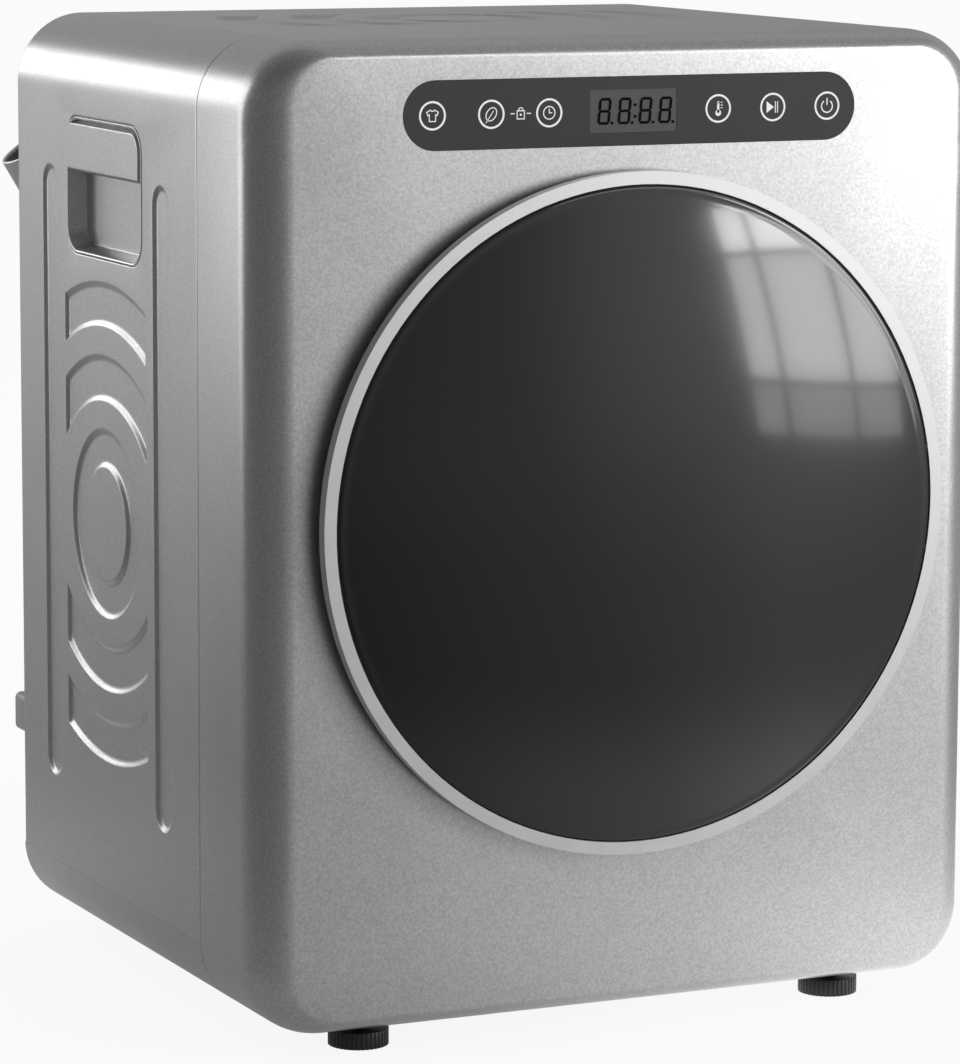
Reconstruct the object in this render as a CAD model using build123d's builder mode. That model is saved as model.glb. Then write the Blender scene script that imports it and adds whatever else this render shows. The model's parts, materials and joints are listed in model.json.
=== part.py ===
"""Vented tumble dryer, compact front loader. Millimetres, +Z up, the front faces -Y.

The origin is on the floor under the middle of the whole machine. Depths are measured backwards
from the flat front face of the cabinet, and negative depths stand proud of it.
"""

import os
from math import asin, cos, degrees, radians, sin, sqrt

from build123d import *

# Cabinet
width = 480.0
height = 586.0
depth = 406.0
foot_height = 14.0
corner_radius = 44.0
roll_side = 24.0
roll_top = 11.0
roll_depth = 28.0
front_depth = 91.0
front_wall = 3.0
sheet = 1.0
base_wall = 2.5
base_height = 43.0
base_lip = 10.0
seam_gap = 0.5
tongue_length = 12.0
flange_width = 15.0

# Pressed pattern, as fractions of half its long side, and the long pressed slots
press_depth = 3.0
press_slope = 45.0
side_press_margin = 284.0
top_press_margin = 178.0
band_half_width = 71.0
outer_band = ((1.0, 0.911), (0.818, 0.705))
inner_band = ((0.699, 0.56), (0.51, 0.311))
ring_press = (0.394, 0.235)
slot_offset = 97.0
slot_width = 27.0
slot_low = 99.0
slot_top_margin = 92.0

# Pocket grips in the sides
grip_width = 133.0
grip_height = 87.0
grip_radius = 18.0
grip_top_margin = 102.0
grip_depth = 28.0
grip_lip = 2.0
grip_lip_proud = 0.6
grip_wall = 2.0
grip_draft = 20.0
grip_plate_low = 8.0
grip_plate_thick = 9.0
grip_groove = 5.0
grip_groove_depth = 5.5

# Control strip
strip_length = 297.0
strip_height = 40.8
strip_top_margin = 44.0
strip_thick = 2.0
display_width = 57.0
display_height = 25.6
window_height = 30.0
window_margin = 10.5
board_depth = 9.0
board_thick = 1.6
box_margin = 5.0
box_depth = 22.0
box_wall = 2.0

# Drum and the space round it
drum_side_gap = 40.0
drum_height_gap = 186.0
space_below_drum = 103.0
drum_sheet = 1.0
drum_front = 52.0
drum_back_gap = 71.0
neck_start = 28.0
neck_gap = 32.0
neck_clear = 0.3
collar_gap = 38.0
collar_wall = 4.0
collar_length = 50.0
collar_flange = 10.0
bead_height = 1.2
lifter_count = 3
lifter_height = 38.0
lifter_base = 46.0
lifter_top = 20.0
lifter_start = 75.0
lifter_end_gap = 30.0
axle_radius = 8.0
axle_flange = 42.0
hub_radius = 16.0
hub_arm = 26.0
air_hole_rings = ((0.19, 12), (0.29, 18), (0.39, 24))
air_hole_radius = 5.0
filter_size = 0.48
filter_rise = 21.0

# Door
door_extra = 4.5
door_ring_width = 7.6
door_proud = 16.0
door_side = 8.0
bezel_wall = 1.6
dome_rise = 18.0
dome_thick = 3.2
dome_roll = 4.5
frame_step = 8.5
frame_back = 3.0
plug_depth = 8.0
glass_thick = 4.0
bowl_depth = 60.0
seal_width = 6.5
hinge_proud = 9.5
hinge_inset = 6.5
ear_offset = 26.0
ear_height = 8.0
ear_thick = 5.0
knuckle_radius = 3.5
pin_radius = 1.8
leaf_length = 33.0
latch_offset = 19.0
peg_length = 16.0

# Blower and exhaust
cover_gap = 64.0
housing_gap = 23.0
housing_wall = 3.0
fan_size = 0.52
scroll_gap = 18.0
inlet_size = 0.35
blade_count = 24
exhaust_side = 72.0
exhaust_top_margin = 131.0
exhaust_radius = 50.0
hood_mouth_radius = 45.5
hood_mouth_offset = (-29.0, 45.5, 51.0)
hood_mouth_normal = (-0.40, 0.378, 0.835)
hood_wall = 2.0

# Drive
motor_side = 90.0
motor_height = 64.0
motor_radius = 45.0
motor_front = 150.0
motor_length = 130.0
motor_boss = 16.0
motor_boss_length = 10.0
shaft_radius = 6.0
shaft_end_radius = 8.0
belt_depth = 124.0
belt_width = 10.0
belt_thick = 2.0
fan_belt_gap = 17.0
fan_belt_width = 8.0
fan_drive_radius = 38.0
fan_pulley_radius = 28.0
idler_height = 61.0
idler_radius = 15.0
pivot_offset = 55.0
pivot_height = 38.0
pivot_radius = 4.0

# Heater duct along the lower left corner
duct_side = 82.5
duct_height = 58.5
duct_width = 85.0
duct_tall = 65.0
duct_wall = 1.2
duct_front = 6.0
duct_leg = 22.0
duct_end_gap = 4.0
heater_start = 150.0
heater_length = 24.0

# Feet and fasteners
foot_radius = 18.3
foot_disc = 10.0
foot_side = 80.0
foot_front = 38.0
foot_rear_gap = 44.0
foot_ribs = 40
stem_radius = 5.0
stem_top = 39.0
boss_radius = 13.0
boss_height = 15.0
nut_radius = 9.0
nut_thick = 6.0
screw_radius = 2.0
screw_head_radius = 3.8
screw_head = 2.2
screw_length = 6.0

# Clearances
running = 0.06
slip = 0.3
skin = 0.1

# Derived places
drum_radius = min(width / 2 - drum_side_gap, (height - drum_height_gap) / 2)
hood_reach = hood_mouth_offset[1] + hood_mouth_radius * 0.926 + 0.7
dome_apex = door_proud + dome_rise
front_y = (dome_apex - depth - hood_reach) / 2
bottom = foot_height
top = foot_height + height
middle = foot_height + height / 2
floor_top = bottom + base_wall
split_z = bottom + base_height
axis_z = foot_height + space_below_drum + drum_radius
wrap_start = front_depth + seam_gap
wrap_middle = (front_depth + depth) / 2
side_press = (height - side_press_margin) / 2
top_press = (width - top_press_margin) / 2
pattern_z = middle - 17.0
rear_inner = depth - sheet - skin
rear_outer = depth - skin
grip_z = top - grip_top_margin
strip_z = top - strip_top_margin
window_length = strip_length - 2 * window_margin
collar_outer = drum_radius - collar_gap
collar_inner = collar_outer - collar_wall
neck_radius = drum_radius - neck_gap
drum_back = depth - drum_back_gap
door_radius = drum_radius + door_extra
door_inner = door_radius - door_ring_width
frame_radius = door_radius - frame_step
bowl_mouth = collar_inner - 12.0
seal_inner = collar_outer + 2.0
hinge_x = door_radius - hinge_inset
latch_x = -collar_outer - latch_offset
cover_depth = depth - cover_gap
housing_depth = depth - housing_gap
housing_end = housing_depth + housing_wall
fan_radius = drum_radius * fan_size
scroll_radius = fan_radius + scroll_gap
inlet_radius = drum_radius * inlet_size
exhaust_x = exhaust_side - width / 2
exhaust_z = top - exhaust_top_margin
motor_x = width / 2 - motor_side
motor_z = foot_height + motor_height
motor_back = motor_front + motor_length
fan_belt_depth = depth - fan_belt_gap
idler_x = motor_x / 2
idler_z = foot_height + idler_height
pivot_x = idler_x - pivot_offset
pivot_z = foot_height + pivot_height
duct_x = duct_side - width / 2
duct_z = foot_height + duct_height
foot_x = width / 2 - foot_side
foot_rear = depth - foot_rear_gap

half_plane = Plane(origin=(0, front_y, axis_z), x_dir=(0, 1, 0), z_dir=(1, 0, 0))
drum_axis = Axis((0, front_y, axis_z), (0, 1, 0))


def facing(distance):
    """Upright plane at a depth, looked at from the front: local x is X and local y is Z."""
    return Plane.XZ.offset(-(front_y + distance))


def turned(*outline, mode=Mode.ADD):
    """Ring or disc about the drum axis from an outline of (depth, radius) points."""
    with BuildSketch(half_plane) as profile:
        with BuildLine():
            Polyline(*outline, close=True)
        make_face()
    revolve(profile.sketch, axis=drum_axis, mode=mode)


def tube(inner, outer, start, end, mode=Mode.ADD):
    """Straight ring about the drum axis between two depths."""
    turned((start, inner), (end, inner), (end, outer), (start, outer), mode=mode)


def rod(x, z, radius, start, end, mode=Mode.ADD):
    """Round bar along the depth, anywhere in the cabinet."""
    with BuildSketch(facing(start)) as profile:
        with Locations((x, z)):
            Circle(radius)
    extrude(profile.sketch, amount=start - end, mode=mode)


def post(x, distance, radius, low, high, mode=Mode.ADD):
    """Upright round bar."""
    with BuildSketch(Plane.XY.offset(low)) as profile:
        with Locations((x, front_y + distance)):
            Circle(radius)
    extrude(profile.sketch, amount=high - low, mode=mode)


def block(x_range, depth_range, z_range, mode=Mode.ADD):
    """Rectangular block between limits given as (low, high) pairs."""
    with BuildSketch(facing(depth_range[0])) as profile:
        with Locations(((x_range[0] + x_range[1]) / 2, (z_range[0] + z_range[1]) / 2)):
            Rectangle(x_range[1] - x_range[0], z_range[1] - z_range[0])
    extrude(profile.sketch, amount=depth_range[0] - depth_range[1], mode=mode)


def cabinet_outline(plane, inset):
    """Rounded upright outline of the cabinet, drawn in from the outer skin."""
    with BuildSketch(plane) as outline:
        with Locations((0, middle)):
            RectangleRounded(width - 2 * inset, height - 2 * inset, corner_radius - inset)
    return outline.sketch


def side_plane(side, distance, z, out=0.0):
    """Plane on a side wall: local x runs along the depth and local y is Z."""
    return Plane(
        origin=(side * (width / 2 + out), front_y + distance, z),
        x_dir=(0, side, 0),
        z_dir=(side, 0, 0),
    )


def pressed_pattern(plane, size):
    """Two bands above, two below and the middle ring that are pressed into the sheet."""
    edge = band_half_width
    with BuildSketch(plane) as pattern:
        for sign in (size, -size):
            for (far_apex, far_end), (near_apex, near_end) in (outer_band, inner_band):
                with BuildLine():
                    ThreePointArc((-edge, sign * far_end), (0, sign * far_apex), (edge, sign * far_end))
                    Line((edge, sign * far_end), (edge, sign * near_end))
                    ThreePointArc((edge, sign * near_end), (0, sign * near_apex), (-edge, sign * near_end))
                    Line((-edge, sign * near_end), (-edge, sign * far_end))
                make_face()
        Circle(min(ring_press[0] * size, edge - 10))
        Circle(min(ring_press[1] * size, edge - 30), mode=Mode.SUBTRACT)
    return pattern.sketch


def long_slots(plane, low, high):
    """The two long pressed slots beside the pattern on a side wall."""
    with BuildSketch(plane) as slots:
        with Locations((-slot_offset, (low + high) / 2), (slot_offset, (low + high) / 2)):
            SlotOverall(high - low, slot_width, rotation=90)
    return slots.sketch


def rolled_shell(inset, mode):
    """Front shell as a solid: a quarter of an ellipse rolls the skin to the flat face."""
    sections = []
    for turn in range(0, 91, 15):
        gain = 1 - cos(radians(turn))
        distance = inset + (roll_depth - inset) * (1 - sin(radians(turn)))
        side_in = inset + (roll_side - inset) * gain
        top_in = inset + (roll_top - inset) * gain
        with BuildSketch(facing(distance)) as section:
            with Locations((0, middle)):
                RectangleRounded(
                    width - 2 * side_in,
                    height - 2 * top_in,
                    corner_radius - (side_in + top_in) / 2,
                )
        sections.append(section.sketch)
    loft(sections, mode=mode)
    extrude(cabinet_outline(facing(roll_depth), inset), amount=roll_depth - front_depth, mode=mode)


def belt_path(plane, inset, *pulleys):
    """Outline of a belt stretched round pulleys given as (x, z, radius)."""
    with BuildSketch(plane) as path:
        with BuildLine():
            for x, z, radius in pulleys:
                CenterArc((x, z), radius + inset, 0, 360)
        make_hull()
    return path.sketch


def foot(side, distance):
    """Solid of one levelling foot: ribbed disc and threaded stem."""
    post(side * foot_x, distance, foot_radius, 0.0, foot_disc)
    with BuildSketch(Plane.XY) as ribs:
        with Locations((side * foot_x, front_y + distance)):
            with PolarLocations(foot_radius, foot_ribs):
                Circle(0.6)
    extrude(ribs.sketch, amount=foot_disc, mode=Mode.SUBTRACT)
    post(side * foot_x, distance, stem_radius, foot_disc, stem_top)


def foot_place(side, distance, floor):
    """Boss with a clear bore for the stem of a foot, on a floor of the cabinet."""
    post(side * foot_x, distance, boss_radius, floor, floor + boss_height)
    post(side * foot_x, distance, stem_radius + slip, bottom - 1, floor + boss_height + 1, mode=Mode.SUBTRACT)


# Front shell: rolled edge, mouth, seats for the strip, the hinge ears and the latch
with BuildPart() as front_panel:
    rolled_shell(0, Mode.ADD)
    rolled_shell(front_wall, Mode.SUBTRACT)
    # Tongue that reaches into the wrap and the bottom pan, on a thicker band of the shell
    tongue_inset = base_wall + slip
    extrude(cabinet_outline(facing(front_depth), front_wall - 1), amount=7)
    extrude(cabinet_outline(facing(front_depth + tongue_length), tongue_inset), amount=tongue_length + 7)
    extrude(
        cabinet_outline(facing(front_depth + tongue_length + 1), tongue_inset + front_wall),
        amount=tongue_length + 9,
        mode=Mode.SUBTRACT,
    )
    for side in (-1, 1):
        foot_place(side, foot_front, bottom + front_wall)
    # Door mouth
    tube(0.0, collar_outer + skin, -front_wall, 2 * front_wall, mode=Mode.SUBTRACT)
    # Recess and window for the control strip
    with BuildSketch(facing(0)) as recess:
        with Locations((0, strip_z)):
            SlotOverall(strip_length + 2 * skin, strip_height + 2 * skin)
    extrude(recess.sketch, amount=-strip_thick, mode=Mode.SUBTRACT)
    block(
        (-window_length / 2, window_length / 2),
        (-front_wall, 2 * front_wall),
        (strip_z - window_height / 2, strip_z + window_height / 2),
        mode=Mode.SUBTRACT,
    )
    for sign in (-1, 1):
        ear_z = axis_z + sign * ear_offset
        block(
            (hinge_x - knuckle_radius - 0.5, hinge_x + knuckle_radius + 0.5),
            (-front_wall, 2 * front_wall),
            (ear_z - ear_height / 2 - 0.5, ear_z + ear_height / 2 + 0.5),
            mode=Mode.SUBTRACT,
        )
    block(
        (latch_x - 8, latch_x + 8),
        (-front_wall, 2 * front_wall),
        (axis_z - 11, axis_z + 11),
        mode=Mode.SUBTRACT,
    )

# Sheet wrap: both sides and the top, bent from one strip, with a return flange at the rear
screw_places = []
for side in (-1, 1):
    for share in (0.32, 0.66, 0.9):
        screw_places.append((side * (width / 2 - 8.5), bottom + share * height))
    screw_places.append((side * width / 4, top - 8.5))
    screw_places.append((side * width / 4, bottom + 9.5))

with BuildPart() as cabinet_wrap:
    extrude(cabinet_outline(facing(wrap_start), 0), amount=wrap_start - depth)
    extrude(
        cabinet_outline(facing(wrap_start - 1), sheet),
        amount=wrap_start - 1 - rear_inner + sheet,
        mode=Mode.SUBTRACT,
    )
    extrude(cabinet_outline(facing(rear_inner), sheet), amount=-2 * sheet, mode=Mode.SUBTRACT)
    extrude(cabinet_outline(facing(depth), flange_width), amount=4 * sheet, mode=Mode.SUBTRACT)
    block(
        (-width, width),
        (wrap_start - 1, depth + 1),
        (bottom - 1, split_z + skin),
        mode=Mode.SUBTRACT,
    )
    slot_ends = (bottom + slot_low - pattern_z, top - slot_top_margin - pattern_z)
    for side in (-1, 1):
        inner = side_plane(side, wrap_middle, pattern_z, -sheet)
        outer = side_plane(side, wrap_middle, pattern_z)
        extrude(pressed_pattern(inner, side_press), amount=-press_depth, taper=press_slope)
        extrude(long_slots(inner, *slot_ends), amount=-press_depth, taper=press_slope)
        extrude(
            pressed_pattern(outer, side_press),
            amount=-press_depth,
            taper=press_slope,
            mode=Mode.SUBTRACT,
        )
        extrude(long_slots(outer, *slot_ends), amount=-press_depth, taper=press_slope, mode=Mode.SUBTRACT)
        with BuildSketch(side_plane(side, wrap_middle, grip_z)) as cutout:
            RectangleRounded(grip_width - 2 * grip_lip, grip_height - 2 * grip_lip, grip_radius - grip_lip)
        extrude(cutout.sketch, amount=-3 * sheet, mode=Mode.SUBTRACT)
    top_origin = (0, front_y + wrap_middle, top)
    top_face = Plane(origin=top_origin, x_dir=(0, -1, 0), z_dir=(0, 0, 1))
    extrude(pressed_pattern(top_face.offset(-sheet), top_press), amount=-press_depth, taper=press_slope)
    extrude(
        pressed_pattern(top_face, top_press),
        amount=-press_depth,
        taper=press_slope,
        mode=Mode.SUBTRACT,
    )
    for x, z in screw_places:
        rod(x, z, screw_radius + slip, rear_inner - 3, depth, mode=Mode.SUBTRACT)

# Bottom pan with its rear wall, a lip inside the wrap, duct rests and foot bosses
with BuildPart() as base_pan:
    extrude(cabinet_outline(facing(wrap_start), 0), amount=wrap_start - depth)
    extrude(
        cabinet_outline(facing(wrap_start - 1), base_wall),
        amount=wrap_start - 1 - rear_inner + 2 * sheet,
        mode=Mode.SUBTRACT,
    )
    extrude(cabinet_outline(facing(rear_inner), base_wall), amount=-2 * sheet, mode=Mode.SUBTRACT)
    block((-width, width), (wrap_start - 1, depth + 1), (split_z, top + 1), mode=Mode.SUBTRACT)
    # Upstanding lip inside the wrap, which follows the cabinet's outline
    with BuildSketch(facing(wrap_start + 3)) as lip_profile:
        with Locations((0, split_z + base_lip / 2 - 1.5)):
            Rectangle(width, base_lip + 3)
        with Locations((0, middle)):
            lip_inset = sheet + slip
            RectangleRounded(
                width - 2 * lip_inset,
                height - 2 * lip_inset,
                corner_radius - lip_inset,
                mode=Mode.INTERSECT,
            )
            RectangleRounded(
                width - 2 * base_wall,
                height - 2 * base_wall,
                corner_radius - base_wall,
                mode=Mode.SUBTRACT,
            )
    extrude(lip_profile.sketch, amount=wrap_start - rear_inner + 6)
    for side in (-1, 1):
        foot_place(side, foot_rear, floor_top)
    for distance in (wrap_start + 35, depth - 90):
        block(
            (duct_x - duct_width / 2 + 8, duct_x + duct_width / 2 - 8),
            (distance, distance + 3),
            (floor_top - 1, duct_z - duct_tall / 2),
        )
    for x, z in screw_places:
        if z < split_z:
            rod(x, z, screw_radius + slip, rear_inner - 4, depth, mode=Mode.SUBTRACT)

# Rear panel with the exhaust hole, air louvres, inlet and screw holes
gland_x = duct_x + duct_width / 2 + 55
gland_z = bottom + 71
with BuildPart() as rear_panel:
    extrude(cabinet_outline(facing(rear_inner), base_wall + slip), amount=-sheet)
    rod(exhaust_x, exhaust_z, exhaust_radius, rear_inner - 1, depth, mode=Mode.SUBTRACT)
    rod(gland_x, gland_z, 8.3, rear_inner - 1, depth, mode=Mode.SUBTRACT)
    with BuildSketch(facing(rear_inner - 1)) as louvres:
        for row in range(5):
            with Locations((duct_x, split_z + 12 + 8 * row), (motor_x, split_z + 80 + 8 * row)):
                SlotOverall(duct_width - 15, 4)
            with Locations((width / 4, top - 90 - 8 * row)):
                SlotOverall(duct_width - 15, 4)
    extrude(louvres.sketch, amount=-4 * sheet, mode=Mode.SUBTRACT)
    for x, z in screw_places:
        rod(x, z, screw_radius + slip, rear_inner - 1, depth, mode=Mode.SUBTRACT)

with BuildPart() as rear_screws:
    for x, z in screw_places:
        rod(x, z, screw_radius, rear_outer - screw_length, rear_outer)
        rod(x, z, screw_head_radius, rear_outer, rear_outer + screw_head)

# Stand-offs that keep the machine off the wall
with BuildPart() as rear_standoffs:
    for side in (-1, 1):
        inner_x = side * (width / 2 - 24)
        outer_x = side * (width / 2 - 4)
        with BuildSketch(facing(rear_outer)) as pad:
            with Locations(((inner_x + outer_x) / 2, bottom + 125.5)):
                RectangleRounded(20, 25, 4)
        extrude(pad.sketch, amount=-28)

with BuildPart() as cord_gland:
    rod(gland_x, gland_z, 8.0, rear_inner - 4, rear_outer)
    rod(gland_x, gland_z, 12.0, rear_outer, rear_outer + 3)
    rod(gland_x, gland_z, 8.5, rear_outer + 3, rear_outer + 14)
    rod(gland_x, gland_z, 3.5, rear_inner - 5, rear_outer + 15, mode=Mode.SUBTRACT)


# Pocket grips: a drafted pocket whose upper half is closed by a plate with finger space behind
def grip(side):
    """Solid of one grip."""
    face = side_plane(side, wrap_middle, grip_z)
    proud = side_plane(side, wrap_middle, grip_z, grip_lip_proud)
    outer_half = grip_height / 2 - grip_lip - slip
    with BuildSketch(face) as rim:
        RectangleRounded(grip_width, grip_height, grip_radius)
    extrude(rim.sketch, amount=grip_lip_proud)
    with BuildSketch(face) as body:
        RectangleRounded(
            grip_width - 2 * (grip_lip + slip),
            grip_height - 2 * (grip_lip + slip),
            grip_radius - grip_lip - slip,
        )
    extrude(body.sketch, amount=-grip_depth - grip_wall, taper=grip_draft)
    with BuildSketch(proud) as pocket:
        RectangleRounded(
            grip_width - 2 * (grip_lip + slip + grip_wall),
            grip_height - 2 * (grip_lip + slip + grip_wall),
            grip_radius - grip_lip - slip - grip_wall,
        )
    extrude(pocket.sketch, amount=-grip_depth - grip_lip_proud, taper=grip_draft, mode=Mode.SUBTRACT)
    # Plate over the upper half
    plate_top = outer_half - 1
    with BuildSketch(face) as plate:
        with Locations((0, (grip_plate_low + plate_top) / 2)):
            Rectangle(grip_width - 2 * (grip_lip + slip + 1), plate_top - grip_plate_low)
        RectangleRounded(
            grip_width - 2 * (grip_lip + slip + 1),
            grip_height - 2 * (grip_lip + slip + 1),
            grip_radius - grip_lip - slip - 1,
            mode=Mode.INTERSECT,
        )
    extrude(plate.sketch, amount=-grip_plate_thick)
    # Groove along the top and the front edge of the plate
    groove_half = grip_width / 2 - grip_lip - slip - grip_wall
    groove_top = grip_height / 2 - grip_lip - slip - grip_wall
    with BuildSketch(proud) as groove:
        RectangleRounded(2 * groove_half, 2 * groove_top, grip_radius - grip_lip - slip - grip_wall)
        with Locations((side * grip_groove, -grip_groove)):
            RectangleRounded(2 * groove_half, 2 * groove_top, grip_radius - 8, mode=Mode.SUBTRACT)
        with Locations((0, grip_plate_low - grip_height)):
            Rectangle(2 * grip_width, 2 * grip_height, mode=Mode.SUBTRACT)
    extrude(groove.sketch, amount=-grip_groove_depth - grip_lip_proud, mode=Mode.SUBTRACT)


with BuildPart() as handle_left:
    grip(-1)

with BuildPart() as handle_right:
    grip(1)

# Control strip: one tinted lens flush with the front, with a window for the display
with BuildPart() as control_fascia:
    with BuildSketch(facing(0)) as lens:
        with Locations((0, strip_z)):
            SlotOverall(strip_length, strip_height)
            RectangleRounded(display_width, display_height, 1.0, mode=Mode.SUBTRACT)
    extrude(lens.sketch, amount=-strip_thick)

with BuildPart() as display_module:
    with BuildSketch(facing(0.2)) as face:
        with Locations((0, strip_z)):
            RectangleRounded(display_width - 2 * skin, display_height - 2 * skin, 1.0)
    extrude(face.sketch, amount=0.2 - board_depth)

board_size = (window_length + 8, window_height + 8)
with BuildPart() as control_board:
    block(
        (-board_size[0] / 2, board_size[0] / 2),
        (board_depth, board_depth + board_thick),
        (strip_z - board_size[1] / 2, strip_z + board_size[1] / 2),
    )
    # Sprung pads behind the six touch keys
    for side in (-1, 1):
        for share in (0.187, 0.312, 0.437):
            rod(side * share * strip_length, strip_z, 5.0, strip_thick, board_depth)

box_size = (board_size[0] + 2 * box_margin + 2, board_size[1] + 2 * box_margin + 2)
with BuildPart() as control_box:
    block(
        (-box_size[0] / 2, box_size[0] / 2),
        (front_wall, front_wall + box_depth),
        (strip_z - box_size[1] / 2, strip_z + box_size[1] / 2),
    )
    block(
        (box_wall - box_size[0] / 2, box_size[0] / 2 - box_wall),
        (front_wall - 1, front_wall + box_depth - box_wall),
        (strip_z + box_wall - box_size[1] / 2, strip_z - box_wall + box_size[1] / 2),
        mode=Mode.SUBTRACT,
    )
    for x_share in (-0.46, -0.16, 0.16, 0.46):
        for z_share in (-0.35, 0.35):
            rod(
                x_share * board_size[0],
                strip_z + z_share * board_size[1],
                3.0,
                board_depth + board_thick,
                front_wall + box_depth - box_wall,
            )

# Front bearing ring in the door mouth, with its felt and the pads that carry the drum
with BuildPart() as front_ring:
    tube(collar_inner, collar_outer, 0.0, collar_length)
    tube(collar_outer - 1, collar_outer + collar_flange, front_wall, 2 * front_wall)
    # Air inlet from the heater duct, low on the left
    block(
        (-collar_outer - 2, -0.72 * collar_outer),
        (duct_front + 2, duct_front + duct_leg - 4),
        (axis_z - 0.72 * collar_outer, axis_z - 0.33 * collar_outer),
        mode=Mode.SUBTRACT,
    )

pad_outer = neck_radius - drum_sheet - neck_clear
with BuildPart() as felt_ring:
    tube(collar_outer, pad_outer, duct_front + duct_leg + 2, 42.0)

with BuildPart() as glide_pads:
    tube(collar_outer, pad_outer, 43.0, collar_length)
    with BuildSketch(facing(42.0)) as lower_part:
        with Locations((0, axis_z)):
            Circle(drum_radius)
            with Locations((0, drum_radius - 0.8 * collar_outer)):
                Rectangle(2 * drum_radius, 2 * drum_radius, mode=Mode.SUBTRACT)
            Rectangle(18, 2 * drum_radius, mode=Mode.SUBTRACT)
    extrude(lower_part.sketch, amount=42.0 - collar_length - 1, mode=Mode.INTERSECT)

# Hinge bracket behind the front wall, with two ears that reach through it
pin_y = front_y - hinge_proud
with BuildPart() as hinge_bracket:
    block((hinge_x - 12, hinge_x + 14), (front_wall, front_wall + 2.5), (axis_z - 50, axis_z + 50))
    for sign in (-1, 1):
        ear_low = axis_z + sign * ear_offset - ear_height / 2
        with BuildSketch(Plane.XY.offset(ear_low)) as ear:
            with Locations((hinge_x, pin_y)):
                Circle(knuckle_radius)
            with Locations((hinge_x, (pin_y + front_y + front_wall + 1) / 2)):
                Rectangle(ear_thick, hinge_proud + front_wall + 1)
        extrude(ear.sketch, amount=ear_height)
    post(
        hinge_x,
        -hinge_proud,
        pin_radius,
        axis_z - 2 * ear_offset,
        axis_z + 2 * ear_offset,
        mode=Mode.SUBTRACT,
    )

pin_half = ear_offset + ear_height / 2
with BuildPart() as hinge_pin:
    post(hinge_x, -hinge_proud, pin_radius, axis_z - pin_half, axis_z + pin_half)

with BuildPart() as latch_catch:
    block((latch_x - 14, latch_x + 8), (front_wall, front_wall + 17), (axis_z - 17, axis_z + 17))
    block(
        (latch_x - 6.5, latch_x + 5.5),
        (front_wall - 1, front_wall + 15),
        (axis_z - 7, axis_z + 7),
        mode=Mode.SUBTRACT,
    )

with BuildPart() as door_switch:
    block((latch_x - 12, latch_x + 6), (front_wall + 17, front_wall + 30), (axis_z - 12, axis_z + 12))

# Fixed axle that carries the back of the drum and the fan
with BuildPart() as axle:
    rod(0, axis_z, axle_radius, cover_depth - 20, rear_inner - 5)
    rod(0, axis_z, axle_flange, rear_inner - 5, rear_inner)


# Blower housing: a scroll whose channel leads to the exhaust hole in the upper left corner
def scroll_outline(plane, inset):
    """Outline of the scroll and its channel."""
    reach = sqrt(exhaust_x**2 + (exhaust_z - axis_z) ** 2)
    across = ((exhaust_z - axis_z) / reach, -exhaust_x / reach)
    channel = scroll_radius * 0.45
    offset_out = scroll_radius - channel
    with BuildSketch(plane) as outline:
        with Locations((0, axis_z)):
            Circle(scroll_radius - inset)
        with BuildLine():
            channel_middle = (across[0] * offset_out, axis_z + across[1] * offset_out)
            CenterArc(channel_middle, channel - inset, 0, 360)
            CenterArc((exhaust_x, exhaust_z), exhaust_radius + 10 - inset, 0, 360)
        make_hull()
    return outline.sketch


with BuildPart() as blower_housing:
    extrude(
        scroll_outline(facing(cover_depth + housing_wall), 0),
        amount=cover_depth + housing_wall - housing_end,
    )
    extrude(
        scroll_outline(facing(cover_depth + housing_wall - 1), housing_wall),
        amount=cover_depth + housing_wall - 1 - housing_depth,
        mode=Mode.SUBTRACT,
    )
    rod(exhaust_x, exhaust_z, exhaust_radius + 3, housing_depth, rear_inner)
    rod(exhaust_x, exhaust_z, exhaust_radius, housing_depth - 1, rear_inner + 1, mode=Mode.SUBTRACT)
    rod(0, axis_z, hub_radius + 2.5, housing_depth - 1, housing_end + 1, mode=Mode.SUBTRACT)

with BuildPart() as blower_cover:
    extrude(scroll_outline(facing(cover_depth), 0), amount=-housing_wall)
    rod(0, axis_z, inlet_radius, cover_depth - 1, cover_depth + housing_wall + 1, mode=Mode.SUBTRACT)

with BuildPart() as exhaust_collar:
    rod(exhaust_x, exhaust_z, exhaust_radius - slip, rear_inner - 10, rear_outer)
    rod(exhaust_x, exhaust_z, exhaust_radius + 12, rear_outer, rear_outer + 2.5)
    rod(
        exhaust_x,
        exhaust_z,
        exhaust_radius - 3.5,
        rear_inner - 11,
        rear_outer + 4,
        mode=Mode.SUBTRACT,
    )

# Hood: a scoop fanned out from the upper edge of the exhaust hole, open upwards and rearwards
hood_base = Vector(exhaust_x, front_y + rear_outer + 2.5, exhaust_z)
hood_mouth = Vector(*hood_mouth_offset) + Vector(exhaust_x, front_y + depth, exhaust_z)
mouth_normal = Vector(*hood_mouth_normal).normalized()
mouth_across = (Vector(0, 1, 0) - mouth_normal * mouth_normal.Y).normalized()


def hood_section(share, inset):
    """Round section of the hood, a share of the way from the hole to the mouth."""
    radius = (exhaust_radius + 4) * (1 - share) + hood_mouth_radius * share
    along = (Vector(0, 1, 0) * (1 - share) + mouth_normal * share).normalized()
    across = Vector(0, 0, -1) * (1 - share) + mouth_across * share
    across = (across - along * across.dot(along)).normalized()
    hinge_low = hood_base + Vector(0, 0, exhaust_radius + 4)
    hinge_high = hood_mouth - mouth_across * hood_mouth_radius
    centre = hinge_low * (1 - share) + hinge_high * share + across * radius
    with BuildSketch(Plane(origin=centre, x_dir=across, z_dir=along)) as section:
        Circle(radius - inset)
    return section.sketch


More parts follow.
